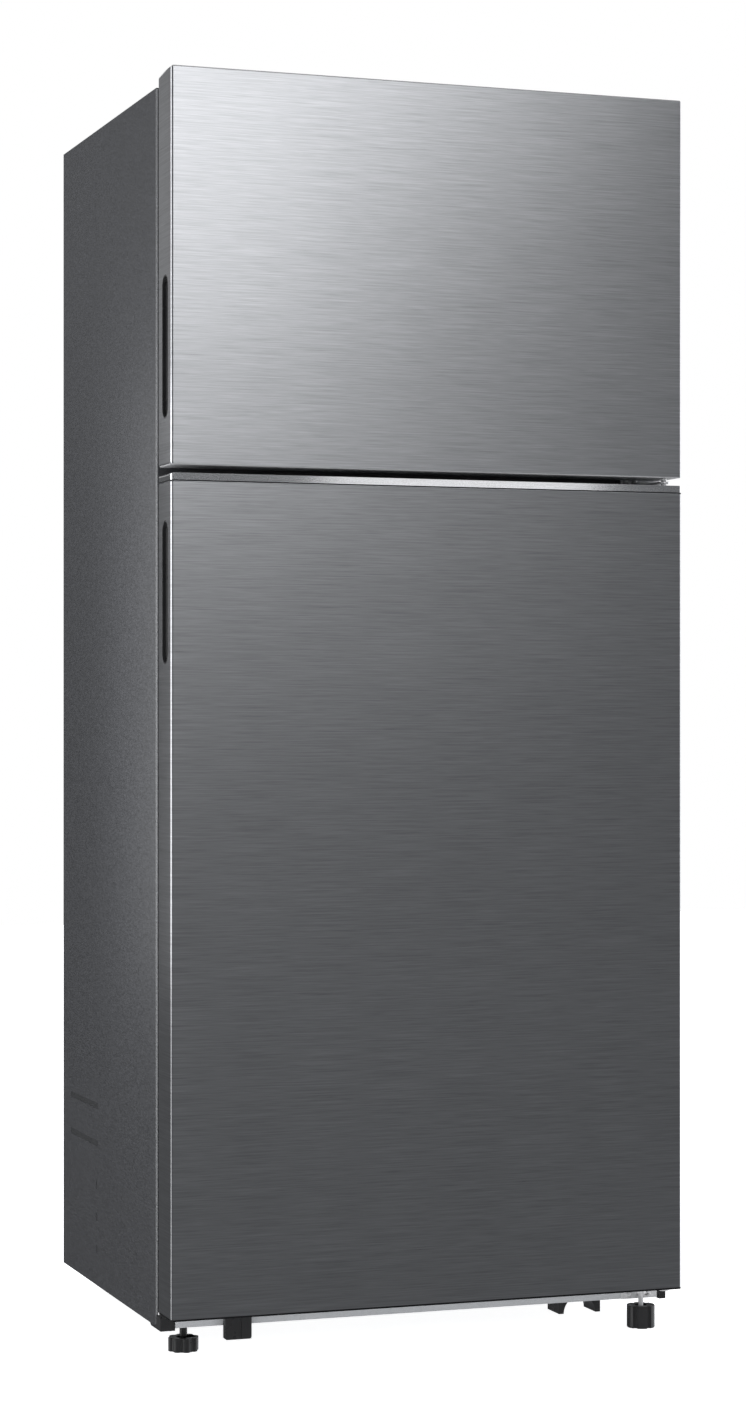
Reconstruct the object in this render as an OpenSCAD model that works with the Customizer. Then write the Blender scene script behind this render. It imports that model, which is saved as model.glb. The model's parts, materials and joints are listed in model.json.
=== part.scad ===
// Top freezer refrigerator: two right-hinged doors over one insulated cabinet.
// Origin: centre of the footprint, on the floor. +X right, +Y towards the back, +Z up. Millimetres.

/* [Overall] */
// Width over the side panels
body_w = 790; // [780:1:810]
// Depth from the door fronts to the back of the machine cover
body_d = 670; // [668:1:690]
// Height from the floor to the top of the freezer door
body_h = 1837.5; // [1830:0.5:1850]

/* [Doors] */
// Thickness of a door without its gasket
door_t = 66; // [64:1:68]
// Space that the gasket closes between a door and the cabinet
gasket_gap = 14; // [13:0.5:15]
// Height of the fridge door's bottom edge above the floor
door_z = 62; // [61.5:0.5:64]
// Height of the fridge door, with its silver top band
fridge_door_h = 1200; // [1198:1:1202]
// Gap between the two doors
door_gap = 11.5; // [11:0.5:13]
// Height of the silver top band
band_h = 10.5; // [9:0.5:12]
// Radius of the rounding along a door's upright front edges
door_edge_r = 4.2; // [3:0.2:6]
// How much lower the freezer door's top is at its back than at its front
door_top_fall = 7; // [4:0.5:9]

/* [Handles] */
// Length of a recessed handle
handle_len = 205; // [180:1:220]
// Width of a recessed handle
handle_w = 32; // [28:1:34]
// Depth of a handle pocket
handle_depth = 25; // [20:1:28]

/* [Hinges] */
// Distance from the hinge axis to the side of the cabinet
axis_side = 19; // [18:0.5:20]
// Distance from the hinge axis to the door fronts
axis_front = 22; // [21:0.5:23]
// Radius of the hinge pins
pin_r = 4; // [3.5:0.1:4.5]
// Radial play of a pin in its bush
pin_play = 0.08; // [0.02:0.01:0.1]
// Half the width of a hinge arm
arm_r = 8; // [7:0.5:8]

/* [Cabinet] */
// Sheet thickness of the outer panels
sheet = 1.2; // [1:0.1:1.5]
// Wall of the inner liners
liner_t = 1.5; // [1:0.1:2]
// Half the inside width of the freezer
freezer_half_w = 332; // [328:1:334]
// Half the inside width of the fridge
fridge_half_w = 343; // [338:1:344]

/* [Feet and rollers] */
// Radius of the left foot's knob
left_knob_r = 22.5; // [20:0.5:24]
// Radius of the right foot's knob
right_knob_r = 21; // [19:0.5:23]
// Radius of the rear rollers
roller_r = 20; // [18:0.5:20]

/* [Hidden] */
$fn = 48;
tiny = 0.01;

// Planes of the cabinet
half_w = body_w / 2;
door_front = -body_d / 2;
door_back = door_front + door_t;
cab_front = door_back + gasket_gap;
cover_depth = 26;
cab_back = body_d / 2 - cover_depth;
cab_z = door_z - 20.5;
cab_top = body_h - 17.5;
flange_w = 50;
rear_return = 15;

// Door heights
fridge_top = door_z + fridge_door_h;
freezer_z = fridge_top + door_gap;
cap_t = 1.5;
corner_r = 4;
band_groove = 1.1;
band_z = fridge_top - band_h;

// Hinge axis, shared by both doors
axis_x = half_w - axis_side;
axis_y = door_front + axis_front;
bush_r = pin_r + pin_play;
bush_block = 22;
bush_front = 18;
pin_len = 22;
hinge_plate_t = 3;
hinge_pocket_drop = 2;

// Inside spaces: each has a floor, a ceiling and a back
freezer_floor = 1298;
freezer_ceiling = 1755;
freezer_back = cab_back - 66;
fridge_floor = 110;
fridge_ceiling = 1238;
fridge_back = cab_back - 50;
floor_sheet_z = 61;
machine_front = 95;
machine_roof = 240;
step_front = machine_front - 60;
step_top = machine_roof + 60;

// Door inner parts
dyke_half_w = 318;
dyke_t = 16;
dyke_depth = 54;
dyke_inset = 12;
gasket_w = 19;
gasket_lap = 2;
gasket_half_w = 371;
gasket_air = 0.5;
bin_half_w = dyke_half_w - dyke_t;
bin_front = -160;
bin_wall = 3;
freezer_bin_z = [1340, 1540];
freezer_bin_h = [100, 100];
fridge_bin_z = [150, 470, 740, 985];
fridge_bin_h = [130, 100, 100, 100];

// Shelves and drawers: every inner piece stays behind this plane
inner_front = -150;
fridge_shelf_z = [392, 640, 850, 1050];
fridge_shelf_back = 235;
freezer_shelf_z = 1524;
freezer_shelf_back = 160;
glass_t = 4;
trim_d = 15;
trim_h = 14;
ledge_w = 17;
crisper_wall = 3;
crisper_gap = 4;
crisper_half_w = 308;
crisper_top = 378;
crisper_back = 245;

// Freezer air wall, evaporator and fans
air_wall_y = 170;
air_wall_t = 3;
evap_fan_z = 1640;
evap_fan_r = 55;
cond_fan_x = 30;
cond_fan_y = 205;
cond_fan_z = 140;
cond_fan_r = 68;
shaft_r = 3;
shaft_play = 0.05;

// Ice rack
ice_x = -250;
ice_axis_z = 1690;
ice_half_w = 64;
ice_front = -128;
ice_back = 92;
ice_pin_r = 4;

// Feet
left_foot_pos = [-348, -232];
right_foot_pos = [350, -287];
left_stud_r = 5.6;
right_stud_r = 4;
stud_play = 0.06;
rail_front = -278;
rail_back = -220;
rail_end = 347;
cap_w = 22;

// Machine space
plate_z = 42;
plate_t = 2;
roller_x = 322;
roller_y = 262;
roller_w = 18;
lug_t = 3;
lug_gap = 1;
axle_r = 4;

// Cord bush in the machine cover, in X and Z
inlet_pos = [294, 200];
inlet_neck_r = 10;

// Door switches
plunger_r = 4;
plunger_hole_r = 4.5;
switch_pocket_r = 7;
switch_x = 300;
freezer_switch_z = 1795;
fridge_switch_z = 78;

// ---------- shared shapes ----------

module block(low, high) {
  translate(low) cube(high - low);
}

// Cylinder along X, Y or Z from one point, with its length
module rod_x(p, r, l) { translate(p) rotate([0, 90, 0]) cylinder(r = r, h = l); }
module rod_y(p, r, l) { translate(p) rotate([-90, 0, 0]) cylinder(r = r, h = l); }
module rod_z(p, r, l) { translate(p) cylinder(r = r, h = l); }

// A flat section drawn in Y and Z, pushed along X from x0 to x1
module along_x(x0, x1) {
  translate([x0, 0, 0]) rotate([90, 0, 90]) linear_extrude(x1 - x0) children();
}

// A flat section drawn in X and Z, pushed along Y from y0 to y1
module along_y(y0, y1) {
  translate([0, y1, 0]) rotate([90, 0, 0]) linear_extrude(y1 - y0) children();
}

module racetrack(long, wide) {
  r = wide / 2;
  square([wide, long - wide], center = true);
  for (end = [-1, 1]) translate([0, end * (long / 2 - r)]) circle(r);
}

module rounded_rect(w, h, r) {
  square([w - 2 * r, h], center = true);
  square([w, h - 2 * r], center = true);
  for (x = [-1, 1], y = [-1, 1]) translate([x * (w / 2 - r), y * (h / 2 - r)]) circle(r);
}

// A flat ring in the X-Z plane
module frame_xz(half_w, z0, z1, width, y0, y1) {
  difference() {
    block([-half_w, y0, z0], [half_w, y1, z1]);
    block([-half_w + width, y0 - 1, z0 + width], [half_w - width, y1 + 1, z1 - width]);
  }
}

// ---------- cabinet ----------

module side_section() {
  polygon([
    [-half_w, cab_front], [-half_w + flange_w, cab_front],
    [-half_w + flange_w, cab_front + sheet], [-half_w + sheet, cab_front + sheet],
    [-half_w + sheet, cab_back - sheet], [-half_w + rear_return, cab_back - sheet],
    [-half_w + rear_return, cab_back], [-half_w, cab_back]
  ]);
}

// Pressed ribs and dimples beside the machine space
module side_pressings() {
  press_depth = 0.7;
  rib_len = 174;
  rib_w = 9;
  rib_mid_y = 171;
  for (z = [260, 318])
    translate([-half_w + press_depth, rib_mid_y, z]) rotate([90, 0, -90])
      linear_extrude(press_depth + 1) rotate(90) racetrack(rib_len, rib_w);
  for (z = [97, 147, 196])
    translate([-half_w + press_depth, 92, z]) rotate([90, 0, -90])
      linear_extrude(press_depth + 1) racetrack(14, 8);
}

// The front flange stops above the base rail
module side_panel() {
  difference() {
    translate([0, 0, cab_z]) linear_extrude(cab_top - cab_z) side_section();
    side_pressings();
    block(
      [-half_w + sheet, cab_front - 1, cab_z - 1],
      [-half_w + flange_w + 1, cab_front + sheet + 1, floor_sheet_z]
    );
  }
}

module left_side_panel() {
  color("dimgray") side_panel();
}

module right_side_panel() {
  color("dimgray") mirror([1, 0, 0]) side_panel();
}

module top_panel() {
  w = half_w - sheet;
  color("dimgray") difference() {
    union() {
      block([-w, cab_front + sheet, cab_top - sheet], [w, cab_back - sheet, cab_top]);
      block([-half_w + flange_w, cab_front, freezer_ceiling], [half_w - flange_w, cab_front + sheet, cab_top]);
    }
    rod_y([switch_x, cab_front - 1, freezer_switch_z], plunger_hole_r, sheet + 2);
  }
}

module rear_panel() {
  w = half_w - rear_return;
  color("gray") block([-w, cab_back - sheet, machine_roof + sheet], [w, cab_back, cab_top - sheet]);
}

// One folded sheet: underside, front wall and roof of the machine space, and a front lip
module cabinet_floor() {
  w = half_w - sheet;
  color("darkgray") difference() {
    union() {
      block([-w, cab_front + sheet, floor_sheet_z], [w, machine_front + sheet, floor_sheet_z + sheet]);
      block([-w, machine_front, floor_sheet_z], [w, machine_front + sheet, machine_roof + sheet]);
      block([-w, machine_front, machine_roof], [w, cab_back - sheet, machine_roof + sheet]);
      block([-half_w + flange_w, cab_front, floor_sheet_z], [half_w - flange_w, cab_front + sheet, fridge_floor]);
    }
    rod_z([left_foot_pos[0], left_foot_pos[1], floor_sheet_z - 1], 8, sheet + 2);
    rod_y([switch_x, cab_front - 1, fridge_switch_z], plunger_hole_r, sheet + 2);
  }
}

// The fridge space drawn in Y and Z, with the step over the machine space; grow widens it all round
module fridge_space(grow) {
  polygon([
    [cab_front - 1, fridge_floor - grow], [step_front + grow, fridge_floor - grow],
    [step_front + grow, step_top - grow], [fridge_back + grow, step_top - grow],
    [fridge_back + grow, fridge_ceiling + grow], [cab_front - 1, fridge_ceiling + grow]
  ]);
}

module freezer_space(grow) {
  block(
    [-freezer_half_w - grow, cab_front - 1, freezer_floor - grow],
    [freezer_half_w + grow, freezer_back + grow, freezer_ceiling + grow]
  );
}

module insulation() {
  w = half_w - sheet;
  front = cab_front + sheet;
  divider_recess = 4;
  foot_pocket = 72;
  color("khaki") difference() {
    block([-w, front, floor_sheet_z + sheet], [w, cab_back - sheet, cab_top - sheet]);
    block([-w - 1, machine_front - tiny, 0], [w + 1, cab_back, machine_roof + sheet]);
    block([-w - 1, machine_front - 1, 0], [w + 1, machine_front + sheet, machine_roof + sheet]);
    freezer_space(liner_t);
    along_x(-fridge_half_w - liner_t, fridge_half_w + liner_t) fridge_space(liner_t);
    block(
      [-half_w + flange_w, cab_front, fridge_ceiling],
      [half_w - flange_w, cab_front + divider_recess, freezer_floor]
    );
    rod_z([left_foot_pos[0], left_foot_pos[1], door_z - 1], 8, foot_pocket - door_z + 1);
    rod_y([switch_x, cab_front, freezer_switch_z], switch_pocket_r, 30);
    rod_y([switch_x, cab_front, fridge_switch_z], switch_pocket_r, 30);
  }
}

module freezer_liner() {
  lip = half_w - flange_w;
  color("whitesmoke") union() {
    difference() {
      block(
        [-freezer_half_w - liner_t, cab_front + sheet, freezer_floor - liner_t],
        [freezer_half_w + liner_t, freezer_back + liner_t, freezer_ceiling + liner_t]
      );
      freezer_space(0);
    }
    for (side = [-1, 1])
      block(
        [side > 0 ? freezer_half_w : -lip, cab_front, freezer_floor],
        [side > 0 ? lip : -freezer_half_w, cab_front + sheet, freezer_ceiling]
      );
    for (side = [-1, 1])
      block(
        [side > 0 ? freezer_half_w - ledge_w : -freezer_half_w, -130, freezer_shelf_z - 8],
        [side > 0 ? freezer_half_w : -freezer_half_w + ledge_w, freezer_shelf_back - 10, freezer_shelf_z]
      );
  }
}

module fridge_liner() {
  color("whitesmoke") union() {
    difference() {
      along_x(-fridge_half_w - liner_t, fridge_half_w + liner_t)
        intersection() {
          fridge_space(liner_t);
          translate([cab_front + sheet, 0]) square([600, 1300]);
        }
      along_x(-fridge_half_w, fridge_half_w) fridge_space(0);
    }
    for (z = fridge_shelf_z, side = [-1, 1])
      block(
        [side > 0 ? fridge_half_w - ledge_w : -fridge_half_w, -130, z - 8],
        [side > 0 ? fridge_half_w : -fridge_half_w + ledge_w, fridge_shelf_back - 10, z]
      );
  }
}

// Front of the wall between the two spaces, with four oblong recesses
module divider_cover() {
  w = half_w - flange_w;
  recess_h = 6;
  recesses = [[-281, -221], [-187, -84], [188, 255], [299, 325]];
  color("#2a2c2f") difference() {
    block([-w, cab_front, fridge_ceiling + liner_t], [w, cab_front + 4, freezer_floor - liner_t]);
    for (r = recesses)
      translate([(r[0] + r[1]) / 2, cab_front + 2.5, 1270]) rotate([90, 0, 0])
        linear_extrude(4) rotate(90) racetrack(r[1] - r[0], recess_h);
  }
}

module base_rail() {
  bottom = 41.5;
  t = 1.5;
  nut_top = 51;
  color("silver") difference() {
    union() {
      block([-half_w + cap_w, rail_front, bottom], [rail_end, rail_front + t, 58]);
      block([-half_w + cap_w, rail_front, bottom], [rail_end, rail_back, bottom + t]);
      block([-half_w + cap_w, rail_back - t, bottom], [rail_end, rail_back, floor_sheet_z]);
      rod_z([left_foot_pos[0], left_foot_pos[1], bottom + t - tiny], 9, nut_top - bottom - t);
    }
    rod_z([left_foot_pos[0], left_foot_pos[1], bottom - 1], left_stud_r + stud_play, 20);
  }
}

// Corner cap drawn in Y and Z: a front block and a sole under the side panel
module corner_cap(w) {
  color("#1b1c1e") along_x(-half_w, -half_w + w)
    polygon([
      [rail_front, 38], [rail_front, 58], [cab_front - 0.2, 58], [cab_front - 0.2, 41.3],
      [-221, 41.3], [-227, 38]
    ]);
}

module skid_block() {
  low = 22;
  mid_x = -282;
  w = 39.5;
  h = 38;
  color("#1b1c1e") difference() {
    translate([mid_x, 0, low + h / 2]) along_y(rail_front - 12, rail_front) rounded_rect(w, h, 3);
    block([mid_x + 3.6, rail_front - 13, low - 1], [mid_x + 4.4, rail_front - 11.2, low + h + 1]);
  }
}

// Two ribs with an arch between them
module skid_arch() {
  mid_x = 255.5;
  w = 67;
  low = 24;
  color("#1b1c1e") difference() {
    block([mid_x - w / 2, -275, low], [mid_x + w / 2, -230, 41.5]);
    rod_y([mid_x, -276, low], 25.5, 50);
  }
}

module base_mouldings() {
  corner_cap(cap_w);
  mirror([1, 0, 0]) corner_cap(11);
  skid_block();
  skid_arch();
}

// ---------- hinges ----------

module top_hinge() {
  color("silver") union() {
    translate([0, 0, cab_top]) linear_extrude(hinge_plate_t) {
      polygon([
        [326, -245], [axis_x - arm_r, -245], [axis_x - arm_r, axis_y], [axis_x + arm_r, axis_y],
        [axis_x + arm_r, -245], [half_w - 4, -245], [half_w - 4, -170], [326, -170]
      ]);
      translate([axis_x, axis_y]) circle(arm_r);
    }
    rod_z([axis_x, axis_y, cab_top - pin_len], pin_r, pin_len + 1);
  }
}

module top_hinge_cover() {
  wall = 2;
  low = [321, -251, cab_top];
  high = [half_w - 0.5, -160, cab_top + 16];
  color("#4a4c50") difference() {
    block(low, high);
    block(low + [wall, wall, -1], high - [wall, wall, wall]);
    block([axis_x - arm_r - 2, low[1] - 1, low[2] - 1], [axis_x + arm_r + 2, low[1] + wall + 1, low[2] + 6]);
  }
}

module middle_hinge() {
  plate_z0 = fridge_top + 4;
  front = cab_front - hinge_plate_t;
  color("silver") union() {
    block([330, front, 1257], [half_w - 1, cab_front, 1278]);
    translate([0, 0, plate_z0]) linear_extrude(hinge_plate_t) {
      polygon([
        [340, front + 1], [half_w - 4, front + 1], [axis_x + arm_r, -285], [axis_x + arm_r, axis_y],
        [axis_x - arm_r, axis_y], [axis_x - arm_r, -285]
      ]);
      translate([axis_x, axis_y]) circle(arm_r);
    }
    rod_z([axis_x, axis_y, fridge_top - 16], pin_r, 46);
  }
}

module bottom_hinge() {
  plate_z0 = door_z - 4.5;
  front = rail_front - hinge_plate_t;
  color("silver") difference() {
    union() {
      block([321, front, 41.5], [379, rail_front, plate_z0 + hinge_plate_t]);
      translate([0, 0, plate_z0]) linear_extrude(hinge_plate_t) {
        polygon([
          [330, rail_front], [336, -298], [360, -300], [axis_x - arm_r, axis_y],
          [axis_x + arm_r, axis_y], [axis_x + arm_r, -284], [axis_x + arm_r, rail_front]
        ]);
        translate([axis_x, axis_y]) circle(arm_r);
      }
      rod_z([right_foot_pos[0], right_foot_pos[1], 50], 7.5, plate_z0 - 50 + 1);
      rod_z([axis_x, axis_y, plate_z0 + 1], pin_r, pin_len + 1);
    }
    rod_z([right_foot_pos[0], right_foot_pos[1], 40], right_stud_r + stud_play, 30);
  }
}

module hinge_screws() {
  head_r = 5;
  head_h = 3;
  color("lightgray") {
    for (p = [[338, -232], [338, -184], [384, -184]])
      rod_z([p[0], p[1], cab_top + hinge_plate_t], head_r, head_h);
    for (x = [337, 352])
      rod_y([x, cab_front - hinge_plate_t - head_h, 1273], 4, head_h);
    rod_y([331, rail_front - hinge_plate_t - head_h, 49], head_r, head_h);
    rod_y([364, rail_front - hinge_plate_t - head_h, 50], 4, head_h);
  }
}

// ---------- feet and rollers ----------

// A knob with lobes round its edge and a dished top
module lobed_knob(r, h, lobes, lobe_r) {
  dish_r = 10;
  dish = 2;
  difference() {
    linear_extrude(h) {
      circle(r - lobe_r * 0.55);
      for (i = [0 : lobes - 1])
        rotate(i * 360 / lobes) translate([r - lobe_r, 0]) circle(lobe_r);
    }
    translate([0, 0, h - dish]) cylinder(r = dish_r, h = dish + 1);
  }
}

module left_foot() {
  knob_h = 20;
  lobe_r = 6;
  color("#17181a") translate([left_foot_pos[0], left_foot_pos[1], 0]) union() {
    lobed_knob(left_knob_r, knob_h, 8, lobe_r);
    cylinder(r = left_stud_r, h = 57);
  }
}

module right_foot_stud() {
  color("silver") rod_z([right_foot_pos[0], right_foot_pos[1], 6], right_stud_r, 52);
}

// A taller knob with broad ribs between deep grooves
module right_foot_knob() {
  knob_h = 33;
  grooves = 6;
  turn = 13;
  color("#17181a") translate([right_foot_pos[0], right_foot_pos[1], 0]) difference() {
    cylinder(r = right_knob_r, h = knob_h);
    for (i = [0 : grooves - 1])
      rotate((i + 0.5) * 360 / grooves + turn) translate([right_knob_r - 0.3, 0, -1])
        cylinder(r = 3.2, h = knob_h + 2);
    translate([0, 0, 6]) cylinder(r = right_stud_r, h = knob_h);
    translate([0, 0, knob_h - 2]) cylinder(r = 9, h = 3);
  }
}

// Pressed steel plate under the machine space; its lugs and axle pins carry the rollers
module machine_base() {
  x_end = half_w - sheet - 1;
  y0 = machine_front + 3;
  y1 = cab_back - 3;
  color("gray") union() {
    block([-x_end, y0, plate_z], [x_end, y1, plate_z + plate_t]);
    block([-x_end, y0, plate_z], [x_end, y0 + plate_t, plate_z + 14]);
    for (side = [-1, 1]) translate([side * roller_x, 0, 0]) {
      reach = roller_w / 2 + lug_gap;
      for (face = [-reach - lug_t, reach])
        translate([face, roller_y, 0]) along_x(0, lug_t) {
          translate([-12, roller_r]) square([24, plate_z - roller_r + 1]);
          translate([0, roller_r]) circle(12);
        }
      rod_x([-reach - lug_t - 1, roller_y, roller_r], axle_r, 2 * (reach + lug_t + 1));
    }
  }
}

module roller(x) {
  color("#242528") difference() {
    rod_x([x - roller_w / 2, roller_y, roller_r], roller_r, roller_w);
    rod_x([x - roller_w, roller_y, roller_r], axle_r + pin_play, 2 * roller_w);
  }
}

module left_roller() { roller(-roller_x); }

module right_roller() { roller(roller_x); }

// ---------- machine space ----------

module compressor() {
  mid = [-215, 203];
  shell_r = 76;
  low = 60;
  seam_z = 128;
  dome_z = 176;
  dome_r = 28;
  color("#202224") union() {
    translate([mid[0], mid[1], 0]) {
      rotate_extrude() union() {
        translate([0, low]) square([shell_r - 12, 12]);
        translate([shell_r - 12, low + 12]) circle(12);
        translate([0, low + 12]) square([shell_r, dome_z - low - 12]);
        translate([0, dome_z]) square([shell_r - dome_r, dome_r]);
        translate([shell_r - dome_r, dome_z]) circle(dome_r);
        translate([0, seam_z]) square([shell_r + 3, 5]);
      }
      translate([-88, -64, 53]) cube([176, 128, 3]);
      translate([-50, -50, 56]) cube([100, 100, 6]);
      for (x = [-1, 1], y = [-1, 1]) translate([x * 76, y * 52, plate_z + plate_t]) cylinder(r = 9, h = 10);
      translate([70, -22, 96]) cube([34, 44, 56]);
      translate([-20, 62, 176]) cylinder(r = 3.2, h = 42);
      translate([26, 56, 176]) cylinder(r = 3.2, h = 38);
    }
  }
}

module drain_pan() {
  low = [92, 108, plate_z + plate_t];
  high = [320, 298, plate_z + plate_t + 26];
  color("#3a3c40") difference() {
    block(low, high);
    block(low + [2, 2, 2], high + [-2, -2, 1]);
  }
}

// Serpentine tube: straight runs along X joined by half-round bends, in upright layers
module condenser_coil() {
  tube_r = 2.5;
  runs = 8;
  pitch = 16;
  layers = 3;
  layer_pitch = 44;
  x0 = 118;
  x1 = 292;
  z0 = 78;
  color("#26282a") for (layer = [0 : layers - 1]) {
    y = 158 + layer * layer_pitch;
    for (i = [0 : runs - 1]) rod_x([x0, y, z0 + i * pitch], tube_r, x1 - x0);
    for (i = [0 : runs - 2])
      translate([i % 2 == 0 ? x1 : x0, y, z0 + (i + 0.5) * pitch]) rotate([90, 0, 0])
        rotate([0, 0, i % 2 == 0 ? -90 : 90]) rotate_extrude(angle = 180)
          translate([pitch / 2, 0]) circle(tube_r);
  }
}

// Fan along +Z from its back face: hub, pitched blades and a bored centre
module fan(r, depth, blades) {
  difference() {
    union() {
      cylinder(r = r * 0.3, h = depth);
      intersection() {
        cylinder(r = r, h = depth);
        for (i = [0 : blades - 1])
          rotate(i * 360 / blades) translate([r * 0.6, 0, depth / 2]) rotate([28, 0, 0])
            cube([r, r * 0.62, 1.8], center = true);
      }
    }
    translate([0, 0, -1]) cylinder(r = shaft_r + shaft_play, h = depth + 2);
  }
}

module condenser_fan() {
  color("#303236") translate([cond_fan_x, cond_fan_y, cond_fan_z]) rotate([0, 90, 0]) fan(cond_fan_r, 24, 5);
}

module condenser_fan_shroud() {
  x0 = cond_fan_x - 12;
  color("#2b2d30") difference() {
    union() {
      difference() {
        block([x0, 104, plate_z + plate_t], [x0 + 3, 302, 236]);
        rod_x([x0 - 1, cond_fan_y, cond_fan_z], cond_fan_r + 3, 5);
      }
      block([x0, cond_fan_y - 74, cond_fan_z - 6], [x0 + 3, cond_fan_y + 74, cond_fan_z + 6]);
      rod_x([x0, cond_fan_y, cond_fan_z], 22, 3);
    }
    rod_x([x0 - 1, cond_fan_y, cond_fan_z], shaft_r + 1.5, 5);
  }
}

module fan_motors() {
  color("#8a8d92") {
    rod_x([cond_fan_x - 38, cond_fan_y, cond_fan_z], 20, 26);
    rod_x([cond_fan_x - 13, cond_fan_y, cond_fan_z], shaft_r, 36);
    rod_y([0, freezer_back - 30, evap_fan_z], 20, 28);
    rod_y([0, air_wall_y + air_wall_t + 4, evap_fan_z], shaft_r, freezer_back - air_wall_y - air_wall_t - 33);
  }
}

// Bulged cover with rows of slots over the machine space
module machine_cover() {
  half = half_w - 15.5;
  t = 2;
  low = 47;
  high = 252;
  slot_h = 6;
  color("#3b3d41") difference() {
    along_x(-half, half) polygon([
      [cab_back, low], [cab_back + t, low], [body_d / 2, low + 20], [body_d / 2, high - 20],
      [cab_back + t, high], [cab_back, high]
    ]);
    along_x(-half + t, half - t) polygon([
      [cab_back - 1, low + 4], [cab_back + t, low + 4], [body_d / 2 - t, low + 20 + t],
      [body_d / 2 - t, high - 20 - t], [cab_back + t, high - 4], [cab_back - 1, high - 4]
    ]);
    for (row = [0 : 9], column = [-3 : 3]) if (!(column == 3 && row > 6))
      translate([column * 98, body_d / 2 - 5, 78 + row * 15]) rotate([-90, 0, 0])
        linear_extrude(10) rotate(90) racetrack(80, slot_h);
    rod_y([inlet_pos[0], cab_back, inlet_pos[1]], inlet_neck_r + 0.1, cover_depth + 1);
  }
}

// Cord bush in the cover; the cord itself isn't part of the model
module power_inlet() {
  cover_t = 2;
  y = body_d / 2;
  color("#141517") difference() {
    union() {
      rod_y([inlet_pos[0], y - 12, inlet_pos[1]], inlet_neck_r, 12);
      rod_y([inlet_pos[0], y - 18, inlet_pos[1]], 14, 18 - cover_t);
    }
    rod_y([inlet_pos[0], y - 20, inlet_pos[1]], 4.2, 25);
  }
}

// ---------- freezer inside ----------

module evaporator() {
  x0 = -290;
  x1 = 290;
  z0 = 1330;
  z1 = 1560;
  y0 = 182;
  y1 = 238;
  fins = 25;
  color("lightgray") union() {
    for (i = [0 : fins - 1]) {
      x = x0 + 20 + i * (x1 - x0 - 40) / (fins - 1);
      block([x - 0.5, y0, z0], [x + 0.5, y1, z1]);
    }
    for (z = [1350 : 38 : 1540], y = [196, 224]) rod_x([x0, y, z], 4, x1 - x0);
  }
}

module evaporator_cover() {
  w = freezer_half_w - 0.5;
  y1 = air_wall_y + air_wall_t;
  color("white") difference() {
    block([-w, air_wall_y, freezer_floor + 0.5], [w, y1, freezer_ceiling - 0.5]);
    for (x = [-240, -120, 0, 120, 240])
      translate([x, y1 + 1, 1728]) rotate([90, 0, 0]) linear_extrude(5) rotate(90) racetrack(90, 12);
    for (x = [-240, -120, 0, 120, 240])
      translate([x, y1 + 1, 1312]) rotate([90, 0, 0]) linear_extrude(5) rotate(90) racetrack(90, 10);
    for (i = [0 : 6])
      translate([0, y1 + 1, evap_fan_z - 42 + i * 14]) rotate([90, 0, 0]) linear_extrude(5)
        rotate(90) racetrack(2 * sqrt(56 * 56 - pow(-42 + i * 14, 2)), 7);
    translate([-220, y1 + 1, 1345]) rotate([90, 0, 0]) linear_extrude(5) rotate(90) racetrack(72, 6);
  }
}

module evaporator_fan() {
  color("#d8dadc") translate([0, air_wall_y + air_wall_t + 6, evap_fan_z]) rotate([-90, 0, 0])
    fan(evap_fan_r, 18, 5);
}

// Upright rack: two side walls, a roof and a front and back bearing plate
module ice_rack() {
  wall = 3;
  base = freezer_shelf_z + glass_t;
  top = 1750;
  x0 = ice_x - ice_half_w;
  x1 = ice_x + ice_half_w;
  color("#dfe6ea") difference() {
    union() {
      block([x0, ice_front, base], [x0 + wall, ice_back, top]);
      block([x1 - wall, ice_front, base], [x1, ice_back, top]);
      block([x0, ice_front, top - wall], [x1, ice_back, top]);
      for (y = [ice_front, ice_back - wall]) block([x0, y, 1660], [x1, y + wall, top]);
    }
    rod_y([ice_x, ice_front - 1, ice_axis_z], ice_pin_r + pin_play, ice_back - ice_front + 2);
  }
}

// Twist tray on a shaft along Y, with a lever at the front
module ice_tray() {
  half = 46;
  low = ice_axis_z - 14;
  high = ice_axis_z + 14;
  y0 = ice_front + 5;
  y1 = ice_back - 5;
  cells = 6;
  pitch = (y1 - y0 - 2) / cells;
  color("#c9dbe6") union() {
    difference() {
      block([ice_x - half, y0, low], [ice_x + half, y1, high]);
      for (i = [0 : cells - 1], side = [-1, 1])
        block(
          [ice_x + (side > 0 ? 2 : -half + 2), y0 + 2 + i * pitch, low + 2],
          [ice_x + (side > 0 ? half - 2 : -2), y0 + i * pitch + pitch, high + 1]
        );
      block([ice_x - half + 2, y0 + 2, low + 16], [ice_x + half - 2, y1 - 2, high + 1]);
    }
    rod_y([ice_x, ice_front - 8, ice_axis_z], ice_pin_r, 13);
    rod_y([ice_x, y1 - 1, ice_axis_z], ice_pin_r, 6);
    rod_y([ice_x, ice_front - 14, ice_axis_z], 12, 7);
    block([ice_x + 4, ice_front - 14, ice_axis_z - 6], [ice_x + 44, ice_front - 7, ice_axis_z + 6]);
  }
}

module ice_bin() {
  wall = 2.5;
  base = freezer_shelf_z + glass_t + 1.5;
  low = [ice_x - ice_half_w + 5, inner_front + 2, base];
  high = [ice_x + ice_half_w - 5, ice_back - 8, base + 98];
  color("#cfe0ea") difference() {
    block(low, high);
    block(low + [wall, wall + 1, wall], high + [-wall, -wall, 1]);
    block([low[0] + 34, low[1] - 1, high[2] - 16], [high[0] - 34, low[1] + 5, high[2] + 1]);
  }
}

module temperature_slider() {
  color("#6fa3c4") union() {
    block([-232, air_wall_y - 9, 1338], [-208, air_wall_y - 0.5, 1352]);
    block([-224, air_wall_y - 1, 1343], [-216, air_wall_y + air_wall_t + 4, 1347]);
  }
}

// ---------- fridge inside ----------

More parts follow.
